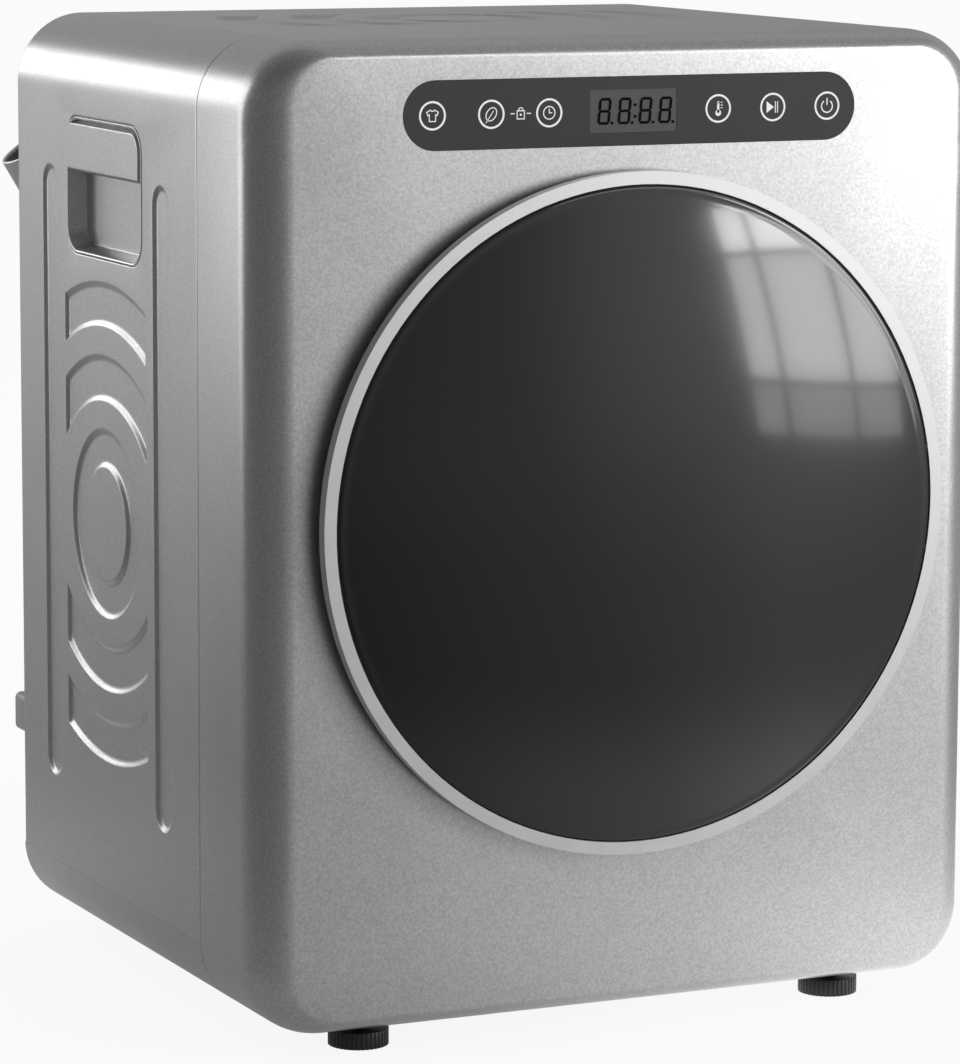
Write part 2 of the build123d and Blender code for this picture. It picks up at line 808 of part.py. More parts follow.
with BuildPart() as exhaust_hood:
    loft([hood_section(step / 2, 0) for step in range(3)])
    loft([hood_section(step / 2, hood_wall) for step in range(3)], mode=Mode.SUBTRACT)
    # Flat seat against the collar
    block(
        (exhaust_x - 90, exhaust_x + 90),
        (rear_outer - 20, rear_outer + 2.5),
        (exhaust_z - 90, exhaust_z + 120),
        mode=Mode.SUBTRACT,
    )

# Heater duct from the rear louvres to the collar, with the heater and its two thermostats
duct_low = duct_x - duct_width / 2
duct_high = duct_x + duct_width / 2
duct_bottom = duct_z - duct_tall / 2
duct_top = duct_z + duct_tall / 2
leg_outline = (
    (duct_low, duct_bottom),
    (duct_high, duct_bottom),
    (duct_high, axis_z - 0.63 * collar_outer),
    (-0.93 * collar_outer, axis_z - 0.34 * collar_outer),
    (duct_low, axis_z - 0.9 * collar_outer),
)


def leg_profile(plane, inset):
    """Outline of the upright leg that joins the duct to the collar."""
    with BuildSketch(plane) as profile:
        Polygon(*leg_outline, align=None)
        if inset:
            offset(amount=-inset, kind=Kind.INTERSECTION)
    return profile.sketch


with BuildPart() as heater_duct:
    block((duct_low, duct_high), (duct_front, rear_inner - duct_end_gap), (duct_bottom, duct_top))
    extrude(leg_profile(facing(duct_front), 0), amount=-duct_leg)
    block(
        (duct_low + duct_wall, duct_high - duct_wall),
        (duct_front + duct_wall, depth),
        (duct_bottom + duct_wall, duct_top - duct_wall),
        mode=Mode.SUBTRACT,
    )
    extrude(
        leg_profile(facing(duct_front + duct_wall), duct_wall),
        amount=2 * duct_wall - duct_leg,
        mode=Mode.SUBTRACT,
    )
    tube(0.0, collar_outer + skin, duct_front - 1, duct_front + duct_leg + 1, mode=Mode.SUBTRACT)

with BuildPart() as ptc_heater:
    heater_x = (duct_low + duct_wall + slip, duct_high - duct_wall - slip)
    heater_z = (duct_bottom + duct_wall, duct_top - duct_wall - slip)
    block(heater_x, (heater_start, heater_start + heater_length), heater_z)
    with BuildSketch(facing(heater_start - 1)) as fins:
        with Locations((duct_x, duct_z)):
            with GridLocations(9.5, 19.5, 8, 3):
                Rectangle(7.5, 16.0)
    extrude(fins.sketch, amount=-heater_length - 2, mode=Mode.SUBTRACT)

with BuildPart() as thermostats:
    for distance in (heater_start + 45, heater_start + 80):
        post(duct_x, distance, 8.0, duct_top, duct_top + 7)
        block((duct_x - 14, duct_x + 14), (distance - 4, distance + 4), (duct_top, duct_top + 1.5))

# Motor with its cradle, capacitor and belts
with BuildPart() as motor_body:
    rod(motor_x, motor_z, motor_radius, motor_front, motor_back)
    rod(motor_x, motor_z, motor_boss, motor_front - motor_boss_length, motor_back + motor_boss_length)
    with BuildSketch(facing(motor_front + 12)) as air_slots:
        with Locations((motor_x, motor_z)):
            with PolarLocations(motor_radius, 24):
                Rectangle(4, 3)
    extrude(air_slots.sketch, amount=24 - motor_length, mode=Mode.SUBTRACT)
    rod(motor_x, motor_z, shaft_radius + running, motor_front - 20, motor_back + 20, mode=Mode.SUBTRACT)

bracket_end = width / 2 - corner_radius - 6
with BuildPart() as motor_bracket:
    block((motor_x - 40, bracket_end), (motor_front - 2, motor_back + 2), (floor_top, floor_top + 3))
    for distance in (motor_front + 3, motor_back - 7):
        block((motor_x - 38, bracket_end - 2), (distance, distance + 4), (floor_top + 2, motor_z - 6))
    rod(motor_x, motor_z, motor_radius, motor_front - 4, motor_back + 4, mode=Mode.SUBTRACT)

with BuildPart() as capacitor:
    post(motor_x - 90, depth - 50, 18.0, floor_top, floor_top + 60)
    post(motor_x - 96, depth - 50, 2.0, floor_top + 60, floor_top + 67)
    post(motor_x - 84, depth - 50, 2.0, floor_top + 60, floor_top + 67)

drum_run = (0, axis_z, drum_radius + slip)
motor_run = (motor_x, motor_z, shaft_end_radius + slip)
idler_run = (idler_x, idler_z, idler_radius + slip)
with BuildPart() as drive_belt:
    extrude(belt_path(facing(belt_depth), belt_thick, drum_run, motor_run, idler_run), amount=-belt_width)
    extrude(
        belt_path(facing(belt_depth), 0, drum_run, motor_run, idler_run),
        amount=-belt_width,
        mode=Mode.SUBTRACT,
    )

fan_drive_run = (motor_x, motor_z, fan_drive_radius + slip)
fan_run = (0, axis_z, fan_pulley_radius + slip)
with BuildPart() as fan_belt:
    extrude(
        belt_path(facing(fan_belt_depth), belt_thick, fan_drive_run, fan_run),
        amount=-fan_belt_width,
    )
    extrude(
        belt_path(facing(fan_belt_depth), 0, fan_drive_run, fan_run),
        amount=-fan_belt_width,
        mode=Mode.SUBTRACT,
    )

# Idler bracket with its stud and the coil spring round the stud
bracket_depth = belt_depth - 20
stud_depth = bracket_depth + 3
arm_depth = belt_depth - 10
with BuildPart() as idler_bracket:
    block((pivot_x - 18, pivot_x + 18), (bracket_depth, bracket_depth + 40), (floor_top, floor_top + 2.5))
    block((pivot_x - 14, pivot_x + 14), (bracket_depth, stud_depth), (floor_top + 1, pivot_z + 12))
    rod(pivot_x, pivot_z, pivot_radius, stud_depth - 1, arm_depth + 6)

with BuildPart() as idler_spring:
    with BuildLine() as coil:
        Helix(2.0, 4.0, 7.0, center=(pivot_x, front_y + stud_depth + 1.2, pivot_z), direction=(0, 1, 0))
    with BuildSketch(Plane(origin=coil.line @ 0, z_dir=coil.line % 0)) as wire:
        Circle(0.7)
    sweep(wire.sketch, path=coil.line, is_frenet=True)

board_x = (duct_high + 15, duct_high + 95)
with BuildPart() as power_board:
    block(board_x, (depth - 216, depth - 86), (floor_top, floor_top + 12))
    block(
        (board_x[0] + 2, board_x[1] - 2),
        (depth - 214, depth - 88),
        (floor_top + 2, floor_top + 13),
        mode=Mode.SUBTRACT,
    )
    block((board_x[0] + 3, board_x[1] - 3), (depth - 213, depth - 89), (floor_top + 1, floor_top + 6))
    block((board_x[0] + 10, board_x[0] + 40), (depth - 200, depth - 172), (floor_top + 5, floor_top + 26))
    post(board_x[1] - 18, depth - 180, 9.0, floor_top + 5, floor_top + 30)
    for row in range(3):
        distance = depth - 150 + 18 * row
        block((board_x[0] + 12, board_x[0] + 60), (distance, distance + 8), (floor_top + 5, floor_top + 18))

# Door: ring, dark dome, frame, glass bowl, seal, hinge arm and latch peg
def hinge_relief():
    """Round clearance about the pin for the hinge barrel and ears."""
    post(
        hinge_x,
        -hinge_proud,
        knuckle_radius + slip,
        axis_z - pin_half - 1,
        axis_z + pin_half + 1,
        mode=Mode.SUBTRACT,
    )


with BuildPart() as door_bezel:
    tube(door_inner, door_radius, -door_proud, bezel_wall - door_proud)
    tube(door_radius - bezel_wall, door_radius, -door_proud, -door_side)
    # Clear the hinge ears when the door swings
    for sign in (-1, 1):
        ear_z = axis_z + sign * ear_offset
        block(
            (hinge_x, door_radius + 2),
            (bezel_wall - door_proud, 0),
            (ear_z - ear_height / 2 - 1, ear_z + ear_height / 2 + 1),
            mode=Mode.SUBTRACT,
        )
    hinge_relief()

shelf = 3.0 - door_proud
dome_rim = door_inner - 0.5
crown_edge = dome_rim - dome_roll
crown_sag = dome_rise - 0.6
crown_radius = (crown_sag**2 + crown_edge**2) / (2 * crown_sag)
crown_centre = crown_radius - dome_apex
inner_edge = 0.95 * dome_rim
with BuildPart() as door_dome:
    outer_turn = degrees(asin(crown_edge / crown_radius))
    inner_radius = crown_radius - dome_thick
    inner_turn = degrees(asin(inner_edge / inner_radius))
    inner_start = crown_centre - sqrt(inner_radius**2 - inner_edge**2)
    roll_start = shelf - 1.9
    roll_end = -door_proud - 0.6
    with BuildSketch(half_plane) as dome_profile:
        with BuildLine():
            Polyline((inner_start, inner_edge), (shelf, inner_edge), (shelf, dome_rim), (roll_start, dome_rim))
            ThreePointArc(
                (roll_start, dome_rim),
                ((roll_start + roll_end) / 2 - 0.5, (dome_rim + crown_edge) / 2 + 0.6),
                (roll_end, crown_edge),
            )
            CenterArc((crown_centre, 0), crown_radius, 180 - outer_turn, outer_turn)
            Line((-dome_apex, 0), (dome_thick - dome_apex, 0))
            CenterArc((crown_centre, 0), inner_radius, 180 - inner_turn, inner_turn)
        make_face()
    revolve(dome_profile.sketch, axis=drum_axis)
    hinge_relief()

flange_top = -10.0
flange_seat = flange_top + glass_thick
plug_outer = collar_inner - 1.0
with BuildPart() as door_frame:
    turned(
        (bezel_wall - door_proud + skin, door_radius - bezel_wall - 0.2),
        (-door_side - 0.2, door_radius - bezel_wall - 0.2),
        (-door_side - 0.2, frame_radius),
        (-frame_back, frame_radius),
        (-frame_back, plug_outer),
        (plug_depth, plug_outer - 2),
        (plug_depth, bowl_mouth + 3.5),
        (flange_seat, bowl_mouth + 1.5),
        (flange_seat, bowl_mouth + 11),
        (shelf, bowl_mouth + 11),
        (shelf, dome_rim + 0.3),
        (bezel_wall - door_proud + skin, dome_rim + 0.3),
    )
    # Pocket for the hinge ears and the barrel
    block(
        (hinge_x - 5, door_radius + 2),
        (-door_proud, 0),
        (axis_z - ear_offset - 6, axis_z + ear_offset + 6),
        mode=Mode.SUBTRACT,
    )
    block(
        (hinge_x - leaf_length - 0.3, hinge_x),
        (-frame_back - 3, 0),
        (axis_z - ear_offset + 4, axis_z + ear_offset - 4),
        mode=Mode.SUBTRACT,
    )
    leaf_screws = [
        (hinge_x - leaf_length + x, axis_z + z) for x in (8, 20) for z in (16 - ear_offset, ear_offset - 16)
    ]
    for x, z in leaf_screws:
        rod(x, z, screw_radius, -frame_back - 3 - 4.5, 0, mode=Mode.SUBTRACT)

with BuildPart() as door_glass:
    with BuildSketch(half_plane) as bowl_profile:
        with BuildLine():
            Polyline(
                (flange_top, bowl_mouth - 4),
                (flange_top, bowl_mouth + 10.8),
                (flange_seat, bowl_mouth + 10.8),
                (flange_seat, bowl_mouth),
                (bowl_depth - 12, bowl_mouth - 30),
            )
            ThreePointArc(
                (bowl_depth - 12, bowl_mouth - 30),
                (bowl_depth - 3.5, bowl_mouth - 35.5),
                (bowl_depth, bowl_mouth - 45),
            )
            Polyline((bowl_depth, bowl_mouth - 45), (bowl_depth, 0), (bowl_depth - glass_thick, 0))
            Line((bowl_depth - glass_thick, 0), (bowl_depth - glass_thick, bowl_mouth - 46))
            ThreePointArc(
                (bowl_depth - glass_thick, bowl_mouth - 46),
                (bowl_depth - glass_thick - 2.5, bowl_mouth - 38.5),
                (bowl_depth - glass_thick - 9, bowl_mouth - 34),
            )
            Line((bowl_depth - glass_thick - 9, bowl_mouth - 34), (flange_top, bowl_mouth - 4))
        make_face()
    revolve(bowl_profile.sketch, axis=drum_axis)

with BuildPart() as door_seal:
    turned(
        (-frame_back, seal_inner),
        (-frame_back, seal_inner + seal_width),
        (-frame_back + 1.4, seal_inner + seal_width),
        (-slip, seal_inner + seal_width - 2),
        (-slip, seal_inner + 2),
        (-frame_back + 1.4, seal_inner),
    )

barrel_half = ear_offset - ear_height / 2 - slip
with BuildPart() as hinge_arm:
    post(hinge_x, -hinge_proud, knuckle_radius, axis_z - barrel_half, axis_z + barrel_half)
    block(
        (hinge_x - leaf_length, hinge_x + 1),
        (-frame_back - 3, -frame_back),
        (axis_z - barrel_half, axis_z + barrel_half),
    )
    block(
        (hinge_x - 3.5, hinge_x + 1),
        (-hinge_proud, -frame_back),
        (axis_z - barrel_half, axis_z + barrel_half),
    )
    post(
        hinge_x,
        -hinge_proud,
        pin_radius + running,
        axis_z - ear_offset,
        axis_z + ear_offset,
        mode=Mode.SUBTRACT,
    )
    for x, z in leaf_screws:
        rod(x, z, screw_radius, -frame_back - 4, 0, mode=Mode.SUBTRACT)
        rod(x, z, screw_head_radius, -frame_back - 1.5, 0, mode=Mode.SUBTRACT)

with BuildPart() as door_screws:
    for x, z in leaf_screws:
        rod(x, z, screw_radius, -frame_back - 7.5, -frame_back - 1.5)
        rod(x, z, screw_head_radius - skin, -frame_back - 1.5, -frame_back)

with BuildPart() as latch_hook:
    block((latch_x - 8, latch_x + 6), (-frame_back, -frame_back + 1.6), (axis_z - 12, axis_z + 12))
    block((latch_x - 3, latch_x + 3), (-frame_back, peg_length), (axis_z - 5, axis_z + 5))
    chamfer(latch_hook.faces().sort_by(Axis.Y)[-1].edges(), 1.2)

# Drum: shell with neck, front wall and belt beads, perforated back, hub with arms, lifters
with BuildPart() as drum_shell:
    tube(neck_radius - 1, neck_radius, neck_start, drum_front + drum_sheet)
    tube(neck_radius - 1, drum_radius, drum_front, drum_front + drum_sheet)
    tube(drum_radius - drum_sheet, drum_radius, drum_front, drum_back)
    for distance in (belt_depth - 8, belt_depth + belt_width + 6, drum_back - 40):
        turned(
            (distance - 2, drum_radius - drum_sheet / 2),
            (distance - 1, drum_radius + bead_height),
            (distance + 1, drum_radius + bead_height),
            (distance + 2, drum_radius - drum_sheet / 2),
        )

with BuildPart() as drum_back_disc:
    tube(hub_radius, drum_radius - drum_sheet, drum_back - 1.5, drum_back)
    with BuildSketch(facing(drum_back - 5)) as holes:
        with Locations((0, axis_z)):
            for share, count in air_hole_rings:
                with PolarLocations(share * drum_radius, count):
                    Circle(air_hole_radius)
    extrude(holes.sketch, amount=-10, mode=Mode.SUBTRACT)

with BuildPart() as drum_hub:
    rod(0, axis_z, hub_radius, drum_back - 17, drum_back + 6)
    with BuildSketch(facing(drum_back)) as arms:
        with Locations((0, axis_z)):
            with PolarLocations(drum_radius * 0.275, 3, start_angle=90):
                Rectangle(drum_radius * 0.55, hub_arm)
    extrude(arms.sketch, amount=-4)
    rod(0, axis_z, axle_radius + running, drum_back - 14, drum_back + 10, mode=Mode.SUBTRACT)

with BuildPart() as drum_lifters:
    base_r = drum_radius - drum_sheet
    with BuildSketch(facing(lifter_start)) as lifters:
        for turn in range(lifter_count):
            angle = radians(30 + 360 / lifter_count * turn)
            corners = []
            for radius, across in (
                (base_r + 6, -lifter_base / 2),
                (base_r - 4, -lifter_base / 2),
                (base_r - lifter_height, -lifter_top / 2),
                (base_r - lifter_height, lifter_top / 2),
                (base_r - 4, lifter_base / 2),
                (base_r + 6, lifter_base / 2),
            ):
                corners.append(
                    (
                        radius * cos(angle) - across * sin(angle),
                        axis_z + radius * sin(angle) + across * cos(angle),
                    )
                )
            Polygon(*corners, align=None)
        with Locations((0, axis_z)):
            Circle(base_r, mode=Mode.INTERSECT)
    extrude(lifters.sketch, amount=lifter_start + lifter_end_gap - drum_back)

# Lint filter: a cap over the perforated back, pulled out towards the door
filter_radius = drum_radius * filter_size
filter_front = drum_back - 1.5 - filter_rise
with BuildPart() as lint_filter:
    rod(0, axis_z, filter_radius, filter_front, drum_back - 1.5 - slip)
    rod(0, axis_z, filter_radius - 2, filter_front + 2, drum_back, mode=Mode.SUBTRACT)
    with BuildSketch(facing(filter_front - 1)) as mesh:
        with Locations((0, axis_z)):
            for share, count in ((0.35, 8), (0.6, 14), (0.82, 20)):
                with PolarLocations(share * filter_radius, count):
                    SlotOverall(0.2 * filter_radius, 5)
    extrude(mesh.sketch, amount=-4, mode=Mode.SUBTRACT)

# Fan wheel with its pulley, turning on the axle behind the drum
with BuildPart() as fan_wheel:
    with BuildSketch(facing(cover_depth + 7)) as blades:
        with Locations((0, axis_z)):
            with PolarLocations(0.86 * fan_radius, blade_count):
                Rectangle(0.26 * fan_radius, 1.6, rotation=32)
            Circle(fan_radius, mode=Mode.INTERSECT)
    extrude(blades.sketch, amount=cover_depth + 7 - housing_depth + 4)
    tube(0.86 * fan_radius, fan_radius, cover_depth + 6, cover_depth + 8)
    tube(axle_radius + 2, fan_radius, housing_depth - 5, housing_depth - 3)
    rod(0, axis_z, hub_radius, cover_depth + 8, fan_belt_depth)
    rod(0, axis_z, fan_pulley_radius, fan_belt_depth - 1, fan_belt_depth + fan_belt_width + 1)
    rod(0, axis_z, axle_radius + running, cover_depth, depth, mode=Mode.SUBTRACT)

with BuildPart() as motor_shaft:
    rod(motor_x, motor_z, shaft_radius, belt_depth - 4, fan_belt_depth + fan_belt_width + 2)
    rod(motor_x, motor_z, shaft_end_radius, belt_depth - 3, belt_depth + belt_width + 3)

with BuildPart() as fan_drive_pulley:
    rod(motor_x, motor_z, fan_drive_radius, fan_belt_depth - 1, fan_belt_depth + fan_belt_width + 1)
    rod(motor_x, motor_z, shaft_radius, fan_belt_depth - 2, depth, mode=Mode.SUBTRACT)

# Idler arm on the stud, with the pin of the idler pulley
with BuildPart() as idler_arm:
    with BuildSketch(facing(arm_depth)) as plate:
        with BuildLine():
            CenterArc((pivot_x, pivot_z), 9, 0, 360)
            CenterArc((idler_x, idler_z), 9, 0, 360)
        make_hull()
    extrude(plate.sketch, amount=-3.5)
    rod(idler_x, idler_z, pivot_radius, arm_depth + 3, belt_depth + belt_width + 4)
    rod(pivot_x, pivot_z, pivot_radius + running, arm_depth - 5, arm_depth + 8, mode=Mode.SUBTRACT)

with BuildPart() as idler_pulley:
    rod(idler_x, idler_z, idler_radius, belt_depth - 3, belt_depth + belt_width + 3)
    rod(idler_x, idler_z, pivot_radius + running, belt_depth - 5, depth, mode=Mode.SUBTRACT)

# Levelling feet with ribbed discs, and their nuts above the bosses
with BuildPart() as foot_front_left:
    foot(-1, foot_front)

with BuildPart() as foot_front_right:
    foot(1, foot_front)

with BuildPart() as foot_rear_left:
    foot(-1, foot_rear)

with BuildPart() as foot_rear_right:
    foot(1, foot_rear)

with BuildPart() as foot_nuts:
    for distance, floor in ((foot_front, bottom + front_wall), (foot_rear, floor_top)):
        for side in (-1, 1):
            seat = floor + boss_height
            with BuildSketch(Plane.XY.offset(seat)) as nut:
                with Locations((side * foot_x, front_y + distance)):
                    RegularPolygon(nut_radius, 6)
            extrude(nut.sketch, amount=nut_thick)
            post(side * foot_x, distance, stem_radius + running, seat - 1, seat + 9, mode=Mode.SUBTRACT)

parts = {
    "front_panel": front_panel,
    "cabinet_wrap": cabinet_wrap,
    "base_pan": base_pan,
    "rear_panel": rear_panel,
    "rear_screws": rear_screws,
    "rear_standoffs": rear_standoffs,
    "cord_gland": cord_gland,
    "handle_left": handle_left,
    "handle_right": handle_right,
    "control_fascia": control_fascia,
    "display_module": display_module,
    "control_board": control_board,
    "control_box": control_box,
    "front_ring": front_ring,
    "felt_ring": felt_ring,
    "glide_pads": glide_pads,
    "hinge_bracket": hinge_bracket,
    "hinge_pin": hinge_pin,
    "latch_catch": latch_catch,
    "door_switch": door_switch,
    "axle": axle,
    "blower_housing": blower_housing,
    "blower_cover": blower_cover,
    "exhaust_collar": exhaust_collar,
    "exhaust_hood": exhaust_hood,
    "heater_duct": heater_duct,
    "ptc_heater": ptc_heater,
    "thermostats": thermostats,
    "motor_body": motor_body,
    "motor_bracket": motor_bracket,
    "capacitor": capacitor,
    "drive_belt": drive_belt,
    "fan_belt": fan_belt,
    "idler_bracket": idler_bracket,
    "idler_spring": idler_spring,
    "power_board": power_board,
    "foot_nuts": foot_nuts,
    "door_bezel": door_bezel,
    "door_dome": door_dome,
    "door_frame": door_frame,
    "door_glass": door_glass,
    "door_seal": door_seal,
    "hinge_arm": hinge_arm,
    "door_screws": door_screws,
    "latch_hook": latch_hook,
    "drum_shell": drum_shell,
    "drum_back": drum_back_disc,
    "drum_hub": drum_hub,
    "drum_lifters": drum_lifters,
    "lint_filter": lint_filter,
    "fan_wheel": fan_wheel,
    "motor_shaft": motor_shaft,
    "fan_drive_pulley": fan_drive_pulley,
    "idler_arm": idler_arm,
    "idler_pulley": idler_pulley,
    "foot_front_left": foot_front_left,
    "foot_front_right": foot_front_right,
    "foot_rear_left": foot_rear_left,
    "foot_rear_right": foot_rear_right,
}

os.makedirs("parts", exist_ok=True)
for name, piece in parts.items():
    piece.part.label = name
    export_step(piece.part, "parts/" + name + ".step")
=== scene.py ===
import json
import math

import bmesh
import bpy
import numpy as np
from mathutils import Matrix, Vector
from mathutils.geometry import delaunay_2d_cdt


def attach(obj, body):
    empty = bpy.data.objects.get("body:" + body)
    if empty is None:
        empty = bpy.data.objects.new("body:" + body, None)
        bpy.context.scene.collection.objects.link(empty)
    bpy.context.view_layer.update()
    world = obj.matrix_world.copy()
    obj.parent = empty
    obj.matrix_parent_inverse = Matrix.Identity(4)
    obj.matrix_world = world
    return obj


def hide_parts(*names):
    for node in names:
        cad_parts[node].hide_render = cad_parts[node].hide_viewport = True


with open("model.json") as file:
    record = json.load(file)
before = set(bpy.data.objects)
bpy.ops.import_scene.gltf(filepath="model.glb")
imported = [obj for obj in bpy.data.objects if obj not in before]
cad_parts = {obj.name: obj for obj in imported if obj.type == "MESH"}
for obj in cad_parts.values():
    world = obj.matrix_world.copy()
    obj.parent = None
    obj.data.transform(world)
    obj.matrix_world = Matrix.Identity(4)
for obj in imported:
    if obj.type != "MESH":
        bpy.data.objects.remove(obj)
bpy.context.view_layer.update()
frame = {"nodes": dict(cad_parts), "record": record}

nodes = frame["nodes"]

# Sizes in millimetres, measured from the middle of the front face: x to the right,
# depth towards the rear, z up from the floor. SAME_POINT is in metres
MM = 0.001
SAME_POINT = 2e-6
FRONT = -230.1665
WIDTH, DEPTH, TOP = 480.0, 406.0, 600.0
# Radius of the long edges, and height of the seam between the wrap and the base pan
CORNER = 44.0
SPLIT = 57.1
# Depth of the wrap's front edge and of its pattern, the pattern's height and how deep it is pressed
WRAP_START = 91.5
WRAP_MIDDLE = 248.5
PATTERN_Z = 290.0
PRESS = 1.9
# Heights of the drum's axis and of the control strip
AXIS_Z = 317.0
STRIP_Z = 556.0


def spot(x, depth, z):
    """A point in metres in the machine's frame."""
    return Vector((x * MM, (FRONT + depth) * MM, z * MM))


def plain_mesh(name, points, faces, smooth=True):
    """A mesh object from points in metres."""
    mesh = bpy.data.meshes.new(name)
    mesh.from_pydata([tuple(p) for p in points], [], faces)
    mesh.validate()
    mesh.polygons.foreach_set("use_smooth", [smooth] * len(mesh.polygons))
    mesh.update()
    made = bpy.data.objects.new(name, mesh)
    bpy.context.scene.collection.objects.link(made)
    return made


def outward(made):
    """Merge doubled points and turn every face outwards."""
    work = bmesh.new()
    work.from_mesh(made.data)
    bmesh.ops.remove_doubles(work, verts=work.verts, dist=SAME_POINT)
    bmesh.ops.recalc_face_normals(work, faces=work.faces)
    work.to_mesh(made.data)
    work.free()
    made.data.update()
    return made


# Materials
def new_tree(name):
    """A material with a shader, its output and one Object coordinate node."""
    made = bpy.data.materials.new(name)
    made.use_nodes = True
    tree = made.node_tree
    tree.nodes.clear()
    output = tree.nodes.new("ShaderNodeOutputMaterial")
    shader = tree.nodes.new("ShaderNodeBsdfPrincipled")
    tree.links.new(shader.outputs["BSDF"], output.inputs["Surface"])
    place = tree.nodes.new("ShaderNodeTexCoord")
    return made, tree, shader, place.outputs["Object"]


def noise(tree, place, scale, detail=3.0, roughness=0.55, stretch=None):
    """Noise over the piece; stretch squeezes it along the axes."""
    if stretch:
        mapping = tree.nodes.new("ShaderNodeMapping")
        mapping.inputs["Scale"].default_value = stretch
        tree.links.new(place, mapping.inputs["Vector"])
        place = mapping.outputs["Vector"]
    made = tree.nodes.new("ShaderNodeTexNoise")
    made.inputs["Scale"].default_value = scale
    made.inputs["Detail"].default_value = detail
    made.inputs["Roughness"].default_value = roughness
    tree.links.new(place, made.inputs["Vector"])
    return made.outputs["Fac"]


def spread(tree, value, low, high):
    """Map a 0 to 1 value onto a range."""
    made = tree.nodes.new("ShaderNodeMapRange")
    made.inputs["From Min"].default_value = 0.3
    made.inputs["From Max"].default_value = 0.7
    made.inputs["To Min"].default_value = low
    made.inputs["To Max"].default_value = high
    tree.links.new(value, made.inputs["Value"])
    return made.outputs["Result"]


def two_tones(tree, value, dark, light):
    """Colour between two tones by a 0 to 1 value."""
    ramp = tree.nodes.new("ShaderNodeValToRGB")
    ramp.color_ramp.elements[0].position = 0.3
    ramp.color_ramp.elements[0].color = (*dark, 1)
    ramp.color_ramp.elements[1].position = 0.7
    ramp.color_ramp.elements[1].color = (*light, 1)
    tree.links.new(value, ramp.inputs["Fac"])
    return ramp.outputs["Color"]


def bump(tree, value, strength, distance):
    """Normal from a height value."""
    made = tree.nodes.new("ShaderNodeBump")
    made.inputs["Strength"].default_value = strength
    made.inputs["Distance"].default_value = distance
    tree.links.new(value, made.inputs["Height"])
    return made.outputs["Normal"]


PLAIN_IOR = 1.5
BUMP_STRENGTH = 0.6


def finish_of(
    name,
    colour,
    roughness,
    metallic=0.0,
    grain=1200.0,
    contrast=0.06,
    rough_swing=0.05,
    relief=0.0,
    relief_scale=None,
    stretch=None,
    detail=3.0,
    coat=0.0,
    coat_roughness=0.1,
    sheen=0.0,
    transmission=0.0,
    specular=0.5,
):
    """One finish: two tones of a fine grain, a swing in gloss and an optional relief."""
    made, tree, shader, place = new_tree(name)
    fine = noise(tree, place, grain, detail, stretch=stretch)
    dark = [c * (1 - contrast) for c in colour]
    light = [min(1.0, c * (1 + contrast)) for c in colour]
    tree.links.new(two_tones(tree, fine, dark, light), shader.inputs["Base Color"])
    broad_scale = grain / 4 if stretch else grain / 40
    broad = noise(tree, place, broad_scale, 2.0, stretch=stretch)
    low, high = max(0.02, roughness - rough_swing), min(1.0, roughness + rough_swing)
    tree.links.new(spread(tree, broad, low, high), shader.inputs["Roughness"])
    if relief:
        height = noise(tree, place, relief_scale or grain, detail, stretch=stretch)
        tree.links.new(bump(tree, height, BUMP_STRENGTH, relief), shader.inputs["Normal"])
    shader.inputs["Metallic"].default_value = metallic
    shader.inputs["Coat Weight"].default_value = coat
    shader.inputs["Coat Roughness"].default_value = coat_roughness
    shader.inputs["Sheen Weight"].default_value = sheen
    shader.inputs["Transmission Weight"].default_value = transmission
    shader.inputs["IOR"].default_value = PLAIN_IOR
    shader.inputs["Specular IOR Level"].default_value = specular
    return made


def galvanised_finish(name, colour):
    """Zinc coated sheet with its faint crystal spangle."""
    made, tree, shader, place = new_tree(name)
    cells = tree.nodes.new("ShaderNodeTexVoronoi")
    cells.inputs["Scale"].default_value = 110.0
    tree.links.new(place, cells.inputs["Vector"])
    split = tree.nodes.new("ShaderNodeSeparateColor")
    tree.links.new(cells.outputs["Color"], split.inputs["Color"])
    dark = [c * 0.93 for c in colour]
    light = [c * 1.04 for c in colour]
    tone = two_tones(tree, split.outputs[0], dark, light)
    tree.links.new(tone, shader.inputs["Base Color"])
    tree.links.new(spread(tree, split.outputs[1], 0.4, 0.46), shader.inputs["Roughness"])
    shader.inputs["Metallic"].default_value = 0.85
    return made


